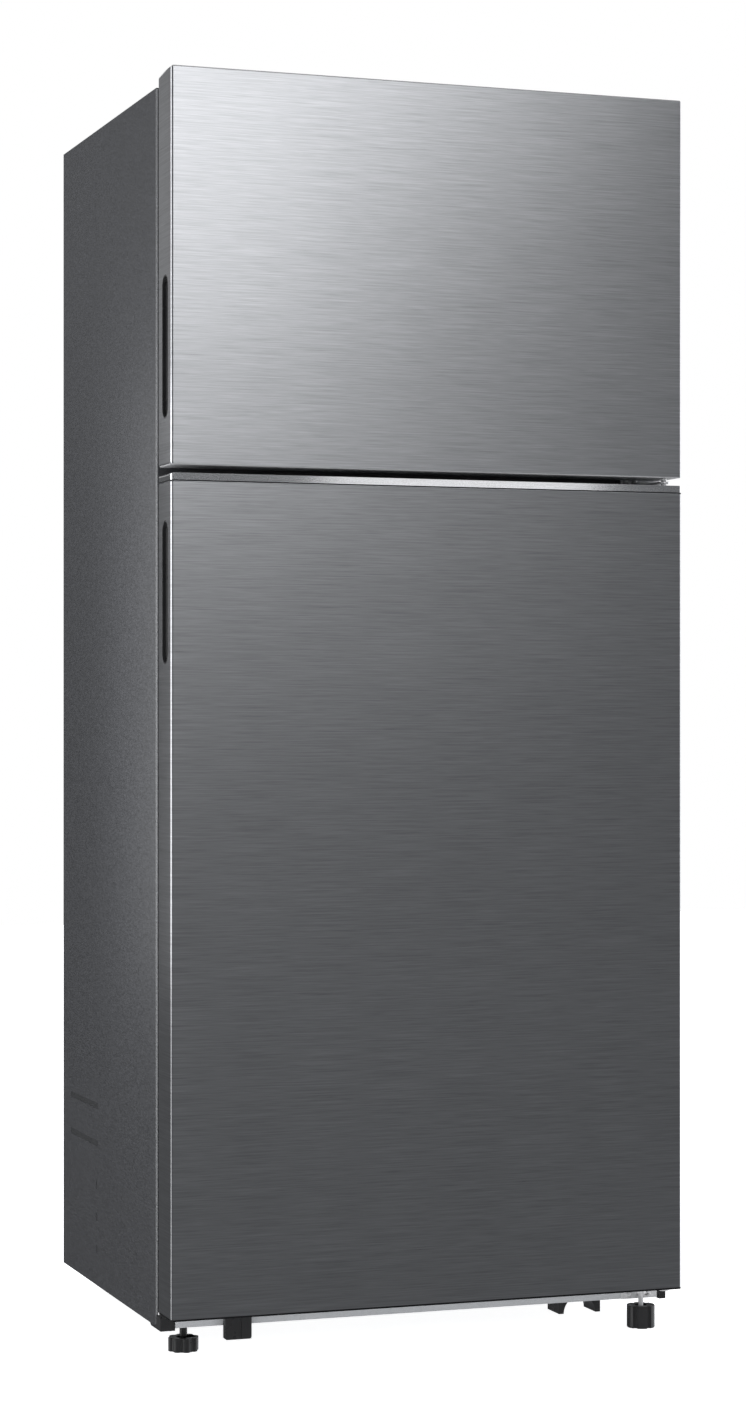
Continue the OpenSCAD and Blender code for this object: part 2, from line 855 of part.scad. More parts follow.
module air_duct() {
  y0 = fridge_back - 14;
  color("white") difference() {
    block([-70, y0, 410], [70, fridge_back, fridge_ceiling - 1]);
    for (z = [470, 560, 700, 790, 900, 985, 1110, 1190], side = [-1, 1])
      translate([side * 40, y0 + 8, z]) rotate([90, 0, 0]) linear_extrude(10) rotate(90) racetrack(42, 8);
  }
}

// Glass panes, one for each shelf
module glass_shelves() {
  color([0.75, 0.9, 0.88, 0.5]) {
    for (z = fridge_shelf_z)
      block([-fridge_half_w + 8, inner_front + trim_d, z], [fridge_half_w - 8, fridge_shelf_back - 8, z + glass_t]);
    block(
      [-freezer_half_w + 7, inner_front + trim_d, freezer_shelf_z],
      [freezer_half_w - 7, freezer_shelf_back - 8, freezer_shelf_z + glass_t]
    );
  }
}

module shelf_trim(half, z, back, lip) {
  block([-half, inner_front, z - trim_h + glass_t + 1 + lip], [half, inner_front + trim_d, z + glass_t + 1]);
  block([-half, back - 8, z], [half, back, z + glass_t + 8]);
}

module shelf_trims() {
  color("#d5d9dc") {
    for (z = fridge_shelf_z) shelf_trim(fridge_half_w - 8, z, fridge_shelf_back, 4);
    shelf_trim(freezer_half_w - 7, freezer_shelf_z, freezer_shelf_back, 4);
  }
}

// Drawer outline in Y and Z, stepped over the machine space
module crisper_section(wall) {
  polygon([
    [inner_front + wall, fridge_floor + 4 + wall], [step_front - 5 - wall, fridge_floor + 4 + wall],
    [step_front - 5 - wall, step_top + 4 + wall], [crisper_back - wall, step_top + 4 + wall],
    [crisper_back - wall, crisper_top + (wall > 0 ? 1 : 0)], [inner_front + wall, crisper_top + (wall > 0 ? 1 : 0)]
  ]);
}

// side is -1 for the left drawer and 1 for the right one
module crisper(side) {
  x0 = side > 0 ? crisper_gap : -crisper_half_w;
  x1 = side > 0 ? crisper_half_w : -crisper_gap;
  color([0.82, 0.9, 0.93, 0.7]) difference() {
    along_x(x0, x1) crisper_section(0);
    along_x(x0 + crisper_wall, x1 - crisper_wall) crisper_section(crisper_wall);
    block(
      [(x0 + x1) / 2 - 70, inner_front - 1, crisper_top - 26],
      [(x0 + x1) / 2 + 70, inner_front + crisper_wall + 1, crisper_top + 1]
    );
  }
}

module left_crisper() { crisper(-1); }

module right_crisper() { crisper(1); }

module lamp_covers() {
  color("ivory") {
    translate([0, -90, fridge_ceiling - 5]) linear_extrude(5) rounded_rect(150, 52, 12);
    translate([0, -80, freezer_ceiling - 5]) linear_extrude(5) rounded_rect(110, 40, 10);
  }
}

module plunger(z) {
  color("whitesmoke") union() {
    rod_y([switch_x, door_back + 0.5, z], plunger_r, 30);
    rod_y([switch_x, cab_front + sheet + 8, z], plunger_r + 2, 3);
  }
}

module freezer_door_switch() { plunger(freezer_switch_z); }

module fridge_door_switch() { plunger(fridge_switch_z); }

// ---------- doors ----------

// Plan outline of a door with rounded front edges; inset shrinks it all round except at the back
module door_outline(inset) {
  r = door_edge_r - inset;
  w = half_w - inset;
  front = door_front + inset;
  translate([-w, front + r]) square([2 * w, door_back - front - r]);
  translate([r - w, front]) square([2 * (w - r), r + 1]);
  for (side = [-1, 1]) translate([side * (w - r), front + r]) circle(r);
}

// Block from z0 to z1 with rounded corners as seen from the front, which trims a door's corners
module corner_trim(z0, z1, r) {
  along_y(door_front - 1, door_back + 1) translate([0, (z0 + z1) / 2])
    rounded_rect(2 * half_w, z1 - z0, r);
}

// Space under the freezer door's top, which falls towards the back; drop lowers it
module below_door_top(drop) {
  flat = 6;
  top = body_h - drop;
  slope = door_top_fall / (door_t - flat);
  along_x(-half_w - 1, half_w + 1) polygon([
    [door_front - 1, freezer_z - 1], [door_front - 1, top], [door_front + flat, top],
    [door_back + 1, top - slope * (door_t - flat + 1)], [door_back + 1, freezer_z - 1]
  ]);
}

// Slot in the door's side for the rim of the handle cup
module handle_slot(z) {
  translate([-half_w - 1, door_front + handle_w, z]) rotate([90, 0, 90])
    linear_extrude(sheet + 2) racetrack(handle_len, handle_w);
}

// Space that the handle cup fills behind the door's side
module handle_body(z) {
  block(
    [-half_w + sheet, door_front + 9, z - handle_len / 2 - 4],
    [-half_w + handle_depth + 3, door_front + 52, z + handle_len / 2 + 4]
  );
}

module door_panel(z0, z1, handle_z) {
  difference() {
    translate([0, 0, z0]) linear_extrude(z1 - z0) difference() {
      door_outline(0);
      door_outline(sheet);
      translate([-half_w + sheet, door_back - 1]) square([2 * (half_w - sheet), 2]);
    }
    handle_slot(handle_z);
  }
}

// Foam between z0 and z1, cut for the handle cup and for the bush blocks at each end
module door_core(z0, z1, handle_z, low_block, high_block) {
  difference() {
    translate([0, 0, z0]) linear_extrude(z1 - z0) intersection() {
      door_outline(sheet);
      translate([-half_w, door_front]) square([2 * half_w, door_t - liner_t]);
    }
    handle_body(handle_z);
    block([axis_x - bush_block, axis_y - bush_front, z0 - 1], [half_w, door_back + 1, z0 + low_block]);
    block([axis_x - bush_block, axis_y - bush_front, z1 - high_block], [half_w, door_back + 1, z1 + 1]);
  }
}

// Back sheet of a door with the raised dyke that enters the cabinet
module door_liner(z0, z1, dyke_z0, dyke_z1) {
  union() {
    block([-half_w + 4, door_back - liner_t, z0], [half_w - 24.1, door_back, z1]);
    frame_xz(dyke_half_w, dyke_z0, dyke_z1, dyke_t, door_back, door_back + dyke_depth);
  }
}

// The gasket's inner edge laps the edge of its space a little
module door_gasket(space_floor, space_ceiling) {
  low = space_floor + gasket_lap - gasket_w;
  high = space_ceiling - gasket_lap + gasket_w;
  frame_xz(gasket_half_w, low, high, gasket_w, door_back, cab_front - gasket_air);
}

// Pocket with an undercut towards the door front, open at the side
module door_handle(z) {
  wall = 2;
  slot_y = door_front + handle_w;
  difference() {
    union() {
      handle_body(z);
      translate([-half_w, slot_y, z]) rotate([90, 0, 90]) linear_extrude(sheet + 1)
        racetrack(handle_len, handle_w);
    }
    translate([-half_w - 1, slot_y, z]) rotate([90, 0, 90]) linear_extrude(6)
      racetrack(handle_len - 2 * wall, handle_w - 2 * wall);
    translate([0, 0, z - handle_len / 2 + 8]) linear_extrude(handle_len - 16) polygon([
      [-half_w + 3, slot_y - handle_w / 2 + wall], [-half_w + 6, door_front + 11],
      [-half_w + handle_depth, door_front + 11], [-half_w + handle_depth, slot_y],
      [-half_w + 4, slot_y + handle_w / 2 - wall]
    ]);
  }
}

// One block with a bored bush for a hinge pin, from z0 to z1
module bush_body(z0, z1, bore_z0, bore_z1) {
  difference() {
    translate([0, 0, z0]) linear_extrude(z1 - z0) intersection() {
      door_outline(sheet);
      translate([axis_x - bush_block, axis_y - bush_front]) square([2 * bush_block, door_t]);
      translate([-half_w, door_front]) square([2 * half_w, door_t - liner_t]);
    }
    rod_z([axis_x, axis_y, bore_z0], bush_r, bore_z1 - bore_z0);
  }
}

// Open-topped door bin
module door_bin(z, h) {
  low = [-bin_half_w, door_back, z];
  high = [bin_half_w, bin_front, z + h];
  difference() {
    block(low, high);
    block(low + [bin_wall, bin_wall, bin_wall], high + [-bin_wall, -bin_wall, 1]);
  }
}

freezer_handle_z = freezer_z + 169.5;
fridge_handle_z = fridge_top - 168.5;
arm_pocket_z = cab_top - hinge_pocket_drop;

// Space that the fixed top hinge arm sweeps inside the freezer door
module arm_pocket() {
  block([axis_x - 14, door_front + 3, arm_pocket_z], [half_w + 1, door_back + 1, body_h - cap_t]);
}

module freezer_door_panel() {
  color("silver") intersection() {
    difference() {
      door_panel(freezer_z + cap_t, body_h - cap_t, freezer_handle_z);
      arm_pocket();
    }
    below_door_top(cap_t);
    corner_trim(freezer_z, body_h, corner_r);
  }
}

module freezer_door_core() {
  color("khaki") intersection() {
    door_core(freezer_z + cap_t, body_h - cap_t, freezer_handle_z, 20, 42);
    below_door_top(cap_t);
  }
}

module freezer_door_liner() {
  color("whitesmoke") difference() {
    door_liner(freezer_z + 7, body_h - 12, freezer_floor + dyke_inset, freezer_ceiling - dyke_inset);
    arm_pocket();
  }
}

// Sloping top cap with the bush for the top hinge's pin, and space for the hinge arm under it
module freezer_door_top_cap() {
  difference() {
    union() {
      intersection() {
        translate([0, 0, body_h - cap_t - door_top_fall])
          linear_extrude(cap_t + door_top_fall) door_outline(0);
        difference() {
          below_door_top(0);
          below_door_top(cap_t);
        }
        corner_trim(freezer_z, body_h, corner_r);
      }
      intersection() {
        bush_body(body_h - cap_t - 42, body_h - cap_t + tiny, arm_pocket_z - pin_len - 1, arm_pocket_z + 1);
        below_door_top(cap_t - tiny);
      }
    }
    intersection() {
      arm_pocket();
      below_door_top(cap_t);
    }
  }
}

module freezer_door_caps() {
  color("#55585c") {
    freezer_door_top_cap();
    difference() {
      union() {
        intersection() {
          translate([0, 0, freezer_z]) linear_extrude(cap_t) door_outline(0);
          corner_trim(freezer_z, body_h, corner_r);
        }
        bush_body(freezer_z + cap_t - tiny, freezer_z + cap_t + 20, freezer_z, freezer_z + 20.5);
      }
      rod_z([axis_x, axis_y, freezer_z - 1], bush_r, 21.5);
    }
  }
}

module freezer_door_gasket() {
  color("#3c3e42") door_gasket(freezer_floor, freezer_ceiling);
}

module freezer_door_handle() {
  color("#17181a") door_handle(freezer_handle_z);
}

module freezer_door_bins() {
  color([0.85, 0.92, 0.95, 0.6])
    for (i = [0 : len(freezer_bin_z) - 1]) door_bin(freezer_bin_z[i], freezer_bin_h[i]);
}

module fridge_door_panel() {
  color("silver") intersection() {
    door_panel(door_z + cap_t, band_z - band_groove, fridge_handle_z);
    corner_trim(door_z, fridge_top, corner_r);
  }
}

module fridge_door_core() {
  color("khaki") door_core(door_z + cap_t, band_z - band_groove, fridge_handle_z, 20, 12);
}

module fridge_door_liner() {
  color("whitesmoke")
    door_liner(door_z + 7, fridge_top - 12, fridge_floor + dyke_inset, fridge_ceiling - dyke_inset);
}

// Silver cap along the fridge door's top, over a thin dark groove
module fridge_door_band() {
  color("gainsboro") difference() {
    union() {
      intersection() {
        translate([0, 0, band_z]) linear_extrude(band_h) door_outline(0);
        corner_trim(band_z - 2 * corner_r, fridge_top, corner_r);
      }
      translate([0, 0, band_z - band_groove]) linear_extrude(band_groove + tiny) door_outline(1.6);
      bush_body(band_z - band_groove - 12, band_z - band_groove + tiny, fridge_top - 18, fridge_top + 1);
    }
    rod_z([axis_x, axis_y, fridge_top - 18], bush_r, 19);
  }
}

module fridge_door_bottom_cap() {
  color("#2a2c2f") difference() {
    union() {
      intersection() {
        translate([0, 0, door_z]) linear_extrude(cap_t) door_outline(0);
        corner_trim(door_z, fridge_top, corner_r);
      }
      bush_body(door_z + cap_t - tiny, door_z + cap_t + 20, door_z, door_z + 21);
    }
    rod_z([axis_x, axis_y, door_z - 1], bush_r, 21.5);
  }
}

module fridge_door_gasket() {
  color("#3c3e42") door_gasket(fridge_floor, fridge_ceiling);
}

module fridge_door_handle() {
  color("#17181a") door_handle(fridge_handle_z);
}

module fridge_door_bins() {
  color([0.85, 0.92, 0.95, 0.6])
    for (i = [0 : len(fridge_bin_z) - 1]) door_bin(fridge_bin_z[i], fridge_bin_h[i]);
}

// ---------- output ----------

left_side_panel();
right_side_panel();
top_panel();
rear_panel();
cabinet_floor();
insulation();
freezer_liner();
fridge_liner();
divider_cover();
base_rail();
base_mouldings();
top_hinge();
top_hinge_cover();
middle_hinge();
bottom_hinge();
hinge_screws();
left_foot();
right_foot_stud();
right_foot_knob();
machine_base();
left_roller();
right_roller();
compressor();
drain_pan();
condenser_coil();
condenser_fan();
condenser_fan_shroud();
machine_cover();
power_inlet();
evaporator();
evaporator_cover();
evaporator_fan();
fan_motors();
ice_rack();
ice_tray();
ice_bin();
air_duct();
glass_shelves();
shelf_trims();
left_crisper();
right_crisper();
lamp_covers();
temperature_slider();
freezer_door_switch();
fridge_door_switch();
freezer_door_panel();
freezer_door_core();
freezer_door_liner();
freezer_door_caps();
freezer_door_gasket();
freezer_door_handle();
freezer_door_bins();
fridge_door_panel();
fridge_door_core();
fridge_door_liner();
fridge_door_band();
fridge_door_bottom_cap();
fridge_door_gasket();
fridge_door_handle();
fridge_door_bins();
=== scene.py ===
import json
import math

import bmesh
import bpy
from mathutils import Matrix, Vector

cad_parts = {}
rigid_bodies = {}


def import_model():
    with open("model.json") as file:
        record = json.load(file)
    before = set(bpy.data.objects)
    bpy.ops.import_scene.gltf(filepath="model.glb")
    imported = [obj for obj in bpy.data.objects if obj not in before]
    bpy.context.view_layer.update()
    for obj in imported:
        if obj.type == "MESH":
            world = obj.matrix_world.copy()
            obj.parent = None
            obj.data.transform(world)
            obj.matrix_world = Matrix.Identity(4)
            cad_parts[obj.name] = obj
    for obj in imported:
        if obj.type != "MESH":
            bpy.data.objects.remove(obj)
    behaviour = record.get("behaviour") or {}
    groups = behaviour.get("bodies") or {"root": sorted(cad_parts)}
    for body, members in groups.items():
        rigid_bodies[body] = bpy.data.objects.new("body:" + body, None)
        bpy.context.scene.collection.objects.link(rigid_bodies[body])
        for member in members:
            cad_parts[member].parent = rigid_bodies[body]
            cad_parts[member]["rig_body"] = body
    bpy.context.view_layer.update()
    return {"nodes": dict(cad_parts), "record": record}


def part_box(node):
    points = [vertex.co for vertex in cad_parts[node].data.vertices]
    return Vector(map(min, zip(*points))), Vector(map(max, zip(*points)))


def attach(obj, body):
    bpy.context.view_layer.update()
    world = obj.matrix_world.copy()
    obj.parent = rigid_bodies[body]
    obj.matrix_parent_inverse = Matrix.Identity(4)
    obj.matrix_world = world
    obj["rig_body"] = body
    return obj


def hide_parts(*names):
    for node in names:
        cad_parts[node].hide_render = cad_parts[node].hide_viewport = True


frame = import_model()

NODES = frame["nodes"]
MM = 0.001

# Sockets of the Mix node for colours, which share their names with its other data types
MIX_FACTOR, MIX_A, MIX_B, MIX_RESULT = 0, 6, 7, 2


# ---------------------------------------------------------------- materials

class Look:
    """A node material with one Principled shader and a few helpers for its procedural detail."""

    def __init__(self, name):
        self.mat = bpy.data.materials.new(name)
        self.mat.use_nodes = True
        self.nodes = self.mat.node_tree.nodes
        self.links = self.mat.node_tree.links
        self.shader = self.nodes["Principled BSDF"]
        self.place = self.nodes.new("ShaderNodeTexCoord").outputs["Object"]

    def set(self, **values):
        for key, value in values.items():
            self.shader.inputs[key.replace("_", " ")].default_value = value

    def link(self, out, key):
        self.links.new(out, self.shader.inputs[key])

    def stretch(self, scale=(1, 1, 1)):
        """Object coordinates, in metres, multiplied by scale: larger numbers make finer detail."""
        node = self.nodes.new("ShaderNodeMapping")
        node.inputs["Scale"].default_value = scale
        self.links.new(self.place, node.inputs["Vector"])
        return node.outputs["Vector"]

    def noise(self, vector, scale=1.0, detail=3.0, rough=0.55, warp=0.0):
        node = self.nodes.new("ShaderNodeTexNoise")
        node.inputs["Scale"].default_value = scale
        node.inputs["Detail"].default_value = detail
        node.inputs["Roughness"].default_value = rough
        node.inputs["Distortion"].default_value = warp
        self.links.new(vector, node.inputs["Vector"])
        return node.outputs["Fac"]

    def cells(self, vector, scale):
        """Distance from the nearest of many scattered points."""
        node = self.nodes.new("ShaderNodeTexVoronoi")
        node.inputs["Scale"].default_value = scale
        self.links.new(vector, node.inputs["Vector"])
        return node.outputs["Distance"]

    def prisms(self, vector, scale):
        """Straight ridges side by side along X."""
        node = self.nodes.new("ShaderNodeTexWave")
        node.bands_direction = "X"
        node.wave_profile = "TRI"
        node.inputs["Scale"].default_value = scale
        self.links.new(vector, node.inputs["Vector"])
        return node.outputs["Fac"]

    def span(self, fac, low, high, start=0.25, end=0.75):
        """Maps a factor between start and end to a number between low and high."""
        node = self.nodes.new("ShaderNodeMapRange")
        node.inputs["From Min"].default_value = start
        node.inputs["From Max"].default_value = end
        node.inputs["To Min"].default_value = low
        node.inputs["To Max"].default_value = high
        self.links.new(fac, node.inputs["Value"])
        return node.outputs["Result"]

    def tint(self, fac, dark, light, start=0.3, end=0.7):
        """Colour between dark and light by a factor."""
        node = self.nodes.new("ShaderNodeValToRGB")
        node.color_ramp.elements[0].position = start
        node.color_ramp.elements[1].position = end
        node.color_ramp.elements[0].color = (*dark, 1)
        node.color_ramp.elements[1].color = (*light, 1)
        self.links.new(fac, node.inputs["Fac"])
        return node.outputs["Color"]

    def blend(self, share, first, second, kind="MIX"):
        """Two colours in one. share is the second one's part."""
        node = self.nodes.new("ShaderNodeMix")
        node.data_type = "RGBA"
        node.blend_type = kind
        node.inputs[MIX_FACTOR].default_value = share
        self.links.new(first, node.inputs[MIX_A])
        self.links.new(second, node.inputs[MIX_B])
        return node.outputs[MIX_RESULT]

    def add(self, first, second):
        node = self.nodes.new("ShaderNodeMath")
        self.links.new(first, node.inputs[0])
        self.links.new(second, node.inputs[1])
        return node.outputs[0]

    def times(self, value, factor):
        node = self.nodes.new("ShaderNodeMath")
        node.operation = "MULTIPLY"
        self.links.new(value, node.inputs[0])
        node.inputs[1].default_value = factor
        return node.outputs[0]

    def bump(self, height, strength, distance):
        node = self.nodes.new("ShaderNodeBump")
        node.inputs["Strength"].default_value = strength
        node.inputs["Distance"].default_value = distance
        self.links.new(height, node.inputs["Height"])
        self.link(node.outputs["Normal"], "Normal")


def shade(colour, factor):
    return tuple(min(1.0, c * factor) for c in colour)


def brushed(name, colour, rough, anisotropy, contrast, along="X"):
    """Brushed metal with its grain along X, or along Z for an upright grain."""
    look = Look(name)
    quarter_turn = 0.25
    look.set(Metallic=1.0, Anisotropic=anisotropy, Anisotropic_Rotation=quarter_turn if along == "X" else 0.0)
    around = look.nodes.new("ShaderNodeTangent")
    around.direction_type = "RADIAL"
    around.axis = "Z"
    look.link(around.outputs["Tangent"], "Tangent")
    lengthwise, crosswise, finer = 9.0, 560.0, 3
    level, upright = (lengthwise, crosswise) if along == "X" else (crosswise, lengthwise)
    streaks = look.noise(look.stretch((level, level, upright)), detail=3.0, rough=0.6)
    hair = look.noise(look.stretch((level * finer, level * finer, upright * finer)), detail=2.0)
    clouds = look.noise(look.stretch((1.6, 1.6, 12.0)), detail=3.0)
    both = look.add(look.times(streaks, 0.6), look.times(hair, 0.4))
    tone = look.tint(both, shade(colour, 1 - contrast), shade(colour, 1 + contrast))
    wide = look.tint(clouds, (0.95, 0.95, 0.95), (1.0, 1.0, 1.0))
    look.link(look.blend(1.0, tone, wide, "MULTIPLY"), "Base Color")
    look.link(look.span(both, rough - 0.02, rough + 0.02), "Roughness")
    look.bump(hair, 0.05, 0.0001)
    return look.mat


def painted(name, colour, rough, grain=900.0, depth=0.06, coat=0.0, fleck=0.18, draw=1.0):
    """Painted sheet: orange peel with light and dark flecks, draw times longer along Y, and faint clouds."""
    look = Look(name)
    look.set(Coat_Weight=coat, Coat_Roughness=0.25)
    peel = look.noise(look.stretch((1, 1 / draw, 1)), scale=grain, detail=3.0)
    clouds = look.noise(look.stretch(), scale=5.0, detail=4.0)
    look.link(look.blend(0.3, look.tint(peel, shade(colour, 1 - fleck), shade(colour, 1 + fleck)),
                         look.tint(clouds, shade(colour, 0.94), shade(colour, 1.06))), "Base Color")
    look.link(look.span(peel, rough - 0.04, rough + 0.05), "Roughness")
    look.bump(peel, depth, 0.0004)
    return look.mat


def moulded(name, colour, rough, grain=1400.0, depth=0.15):
    """Moulded plastic with a fine spark texture and handling variation in its gloss."""
    look = Look(name)
    spark = look.noise(look.stretch(), scale=grain, detail=4.0, rough=0.7)
    touch = look.noise(look.stretch(), scale=22.0, detail=5.0)
    look.link(look.tint(look.add(look.times(spark, 0.6), look.times(touch, 0.4)),
                        shade(colour, 0.85), shade(colour, 1.15)), "Base Color")
    look.link(look.span(touch, rough - 0.06, rough + 0.08), "Roughness")
    look.bump(spark, depth, 0.0003)
    return look.mat


def gloss(name, colour, rough):
    """Formed glossy sheet plastic with a slow ripple."""
    look = Look(name)
    slow = look.noise(look.stretch(), scale=40.0, detail=2.0)
    fine = look.noise(look.stretch(), scale=700.0, detail=2.0)
    look.link(look.tint(slow, shade(colour, 0.97), shade(colour, 1.02)), "Base Color")
    look.link(look.span(fine, rough - 0.03, rough + 0.05), "Roughness")
    look.bump(look.add(slow, look.times(fine, 0.15)), 0.03, 0.001)
    return look.mat


def see_through(name, colour, rough, ior, wave=60.0):
    """Clear plastic or glass with a slight flow pattern and fine surface haze."""
    look = Look(name)
    look.set(Transmission_Weight=1.0, IOR=ior)
    flow = look.noise(look.stretch(), scale=wave, detail=2.0, warp=0.4)
    haze = look.noise(look.stretch(), scale=9.0, detail=6.0)
    look.link(look.tint(flow, shade(colour, 0.96), colour), "Base Color")
    look.link(look.span(haze, rough * 0.6, rough * 1.5), "Roughness")
    look.bump(flow, 0.04, 0.0006)
    return look.mat


def plated(name, colour, rough, metallic=1.0):
    """Zinc plated or bare steel with cloudy patches and fine rolling lines."""
    look = Look(name)
    look.set(Metallic=metallic)
    patches = look.noise(look.stretch(), scale=160.0, detail=5.0, rough=0.65, warp=0.5)
    lines = look.noise(look.stretch((60, 60, 1500)), detail=2.0)
    look.link(look.tint(patches, shade(colour, 0.78), shade(colour, 1.1)), "Base Color")
    look.link(look.span(patches, rough + 0.1, rough - 0.06), "Roughness")
    look.bump(look.add(patches, look.times(lines, 0.4)), 0.12, 0.0002)
    return look.mat


def spangled(name, colour, rough):
    """Galvanised sheet with its crystal flakes."""
    look = Look(name)
    look.set(Metallic=0.85)
    flakes = look.cells(look.stretch(), 90.0)
    dull = look.noise(look.stretch(), scale=14.0, detail=6.0)
    look.link(look.blend(0.5, look.tint(flakes, shade(colour, 0.8), shade(colour, 1.15), 0.1, 0.8),
                         look.tint(dull, shade(colour, 0.9), shade(colour, 1.05))), "Base Color")
    look.link(look.span(flakes, rough - 0.08, rough + 0.1, 0.1, 0.9), "Roughness")
    look.bump(dull, 0.1, 0.0004)
    return look.mat


def foamed(name, colour):
    """Rigid foam with open pores on a lumpy skin."""
    look = Look(name)
    pores = look.cells(look.stretch(), 700.0)
    lumps = look.noise(look.stretch(), scale=60.0, detail=6.0)
    look.link(look.blend(0.5, look.tint(pores, shade(colour, 0.6), colour, 0.0, 0.5),
                         look.tint(lumps, shade(colour, 0.85), shade(colour, 1.05))), "Base Color")
    look.set(Roughness=0.9)
    look.bump(look.add(pores, lumps), 0.5, 0.001)
    return look.mat


def rubbery(name, colour, shine=0.5):
    """Soft dull rubber with a bloom on it; shine is its mirror strength."""
    look = Look(name)
    look.set(Sheen_Weight=0.3 * shine, Sheen_Roughness=0.5, Specular_IOR_Level=shine)
    bloom = look.noise(look.stretch(), scale=35.0, detail=6.0)
    skin = look.noise(look.stretch(), scale=1800.0, detail=2.0)
    look.link(look.tint(bloom, shade(colour, 0.8), shade(colour, 1.3)), "Base Color")
    look.link(look.span(bloom, 0.5, 0.68), "Roughness")
    look.bump(skin, 0.2, 0.0003)
    return look.mat


def ribbed_lens(name, colour):
    """Frosted lamp lens with fine prisms across it."""
    look = Look(name)
    look.set(Transmission_Weight=0.35, IOR=1.49)
    prisms = look.prisms(look.stretch(), 60.0)
    frost = look.noise(look.stretch(), scale=900.0)
    look.link(look.tint(prisms, shade(colour, 0.93), colour), "Base Color")
    look.link(look.span(frost, 0.28, 0.42), "Roughness")
    look.bump(look.add(prisms, look.times(frost, 0.1)), 0.5, 0.001)
    return look.mat


# One look for each material slot: its colour, its roughness, then the strength of its detail
STEEL = (0.453, 0.460, 0.477)
LOOKS = {
    "door_steel": brushed("door_steel", STEEL, 0.29, 0.45, 0.26),
    "band_metal": brushed("band_metal", (0.76, 0.765, 0.78), 0.10, 0.0, 0.03),
    "side_paint": painted("side_paint", (0.0388, 0.0400, 0.0440), 0.54, 330.0, 0.21, fleck=0.4, draw=3.0),
    "rail_metal": painted("rail_metal", (0.43, 0.44, 0.455), 0.35, coat=0.2),
    "compressor_paint": painted("compressor_paint", (0.015, 0.015, 0.017), 0.28, 300.0, 0.12, 0.4),
    "coil_paint": painted("coil_paint", (0.02, 0.02, 0.022), 0.35, 500.0, 0.15),
    "rear_sheet": spangled("rear_sheet", (0.42, 0.43, 0.44), 0.45),
    "foam": foamed("foam", (0.80, 0.70, 0.42)),
    "liner_plastic": gloss("liner_plastic", (0.82, 0.83, 0.84), 0.26),
    "trim_plastic": gloss("trim_plastic", (0.60, 0.62, 0.64), 0.3),
    "ice_plastic": gloss("ice_plastic", (0.56, 0.70, 0.80), 0.25),
    "slider_plastic": gloss("slider_plastic", (0.16, 0.36, 0.55), 0.3),
    "white_plastic": moulded("white_plastic", (0.78, 0.78, 0.77), 0.38, 1100.0, 0.08),
    "divider_plastic": moulded("divider_plastic", (0.028, 0.028, 0.030), 0.42),
    "black_plastic": moulded("black_plastic", (0.021, 0.021, 0.022), 0.28),
    "hinge_cover_plastic": moulded("hinge_cover_plastic", (0.055, 0.057, 0.062), 0.45),
    "roller_plastic": moulded("roller_plastic", (0.02, 0.02, 0.022), 0.5),
    "pan_plastic": moulded("pan_plastic", (0.05, 0.052, 0.055), 0.5),
    "fan_plastic": moulded("fan_plastic", (0.03, 0.031, 0.034), 0.4),
    "cover_plastic": moulded("cover_plastic", (0.045, 0.047, 0.05), 0.5),
    "cap_plastic": moulded("cap_plastic", (0.26, 0.262, 0.27), 0.4),
    "hinge_steel": plated("hinge_steel", (0.82, 0.82, 0.83), 0.34, 0.4),
    "screw_steel": plated("screw_steel", (0.84, 0.84, 0.85), 0.3, 0.5),
    "motor_metal": plated("motor_metal", (0.42, 0.42, 0.44), 0.35),
    "evaporator_aluminium": brushed("evaporator_aluminium", (0.75, 0.76, 0.77), 0.32, 0.3, 0.08, "Z"),
    "clear_plastic": see_through("clear_plastic", (0.86, 0.93, 0.96), 0.08, 1.49),
    "shelf_glass": see_through("shelf_glass", (0.80, 0.93, 0.89), 0.02, 1.52, 20.0),
    "lamp_lens": ribbed_lens("lamp_lens", (0.92, 0.92, 0.88)),
    "gasket_rubber": rubbery("gasket_rubber", (0.05, 0.052, 0.056)),
}

SLOT_OF = {part["node"]: part["material_slot"] for part in frame["record"]["subparts"]}
# The lower door's steel is a little darker: painted shade on a copy of the same steel. A film covers the
# strip of foam at each door's back edge
SHADED_LOWER_STEEL = brushed("door_steel_lower_painted_shade", shade(STEEL, 0.87), 0.29, 0.45, 0.26)
EDGE_FILM = moulded("foam_edge_film", (0.34, 0.345, 0.355), 0.42)
OWN_LOOKS = {"fridge_door_panel": SHADED_LOWER_STEEL, "freezer_door_core": EDGE_FILM, "fridge_door_core": EDGE_FILM}
for name, obj in NODES.items():
    look = OWN_LOOKS.get(name) or LOOKS[SLOT_OF[name]]
    for i in range(len(obj.data.materials)):
        obj.data.materials[i] = look


# ---------------------------------------------------------------- softened edges on the carried-over nodes

WELD_DISTANCE = 0.00001
FLAT_ANGLE = 0.6
REAR_EDGE_WEIGHT = 0.25


def geometry_group(name):
    """New group of geometry nodes, with the socket that geometry comes from and the one that it goes to."""
    group = bpy.data.node_groups.new(name, "GeometryNodeTree")
    for way in ("INPUT", "OUTPUT"):
        group.interface.new_socket("Geometry", in_out=way, socket_type="NodeSocketGeometry")
    source = group.nodes.new("NodeGroupInput").outputs[0]
    result = group.nodes.new("NodeGroupOutput").inputs[0]
    return group, source, result


def joining_group():
    """Geometry nodes that weld the imported faces and shade them smooth."""
    group, source, result = geometry_group("join_faces")
    weld = group.nodes.new("GeometryNodeMergeByDistance")
    weld.inputs["Distance"].default_value = WELD_DISTANCE
    smooth = group.nodes.new("GeometryNodeSetShadeSmooth")
    group.links.new(source, weld.inputs["Geometry"])
    group.links.new(weld.outputs[0], smooth.inputs[0])
    group.links.new(smooth.outputs[0], result)
    return group


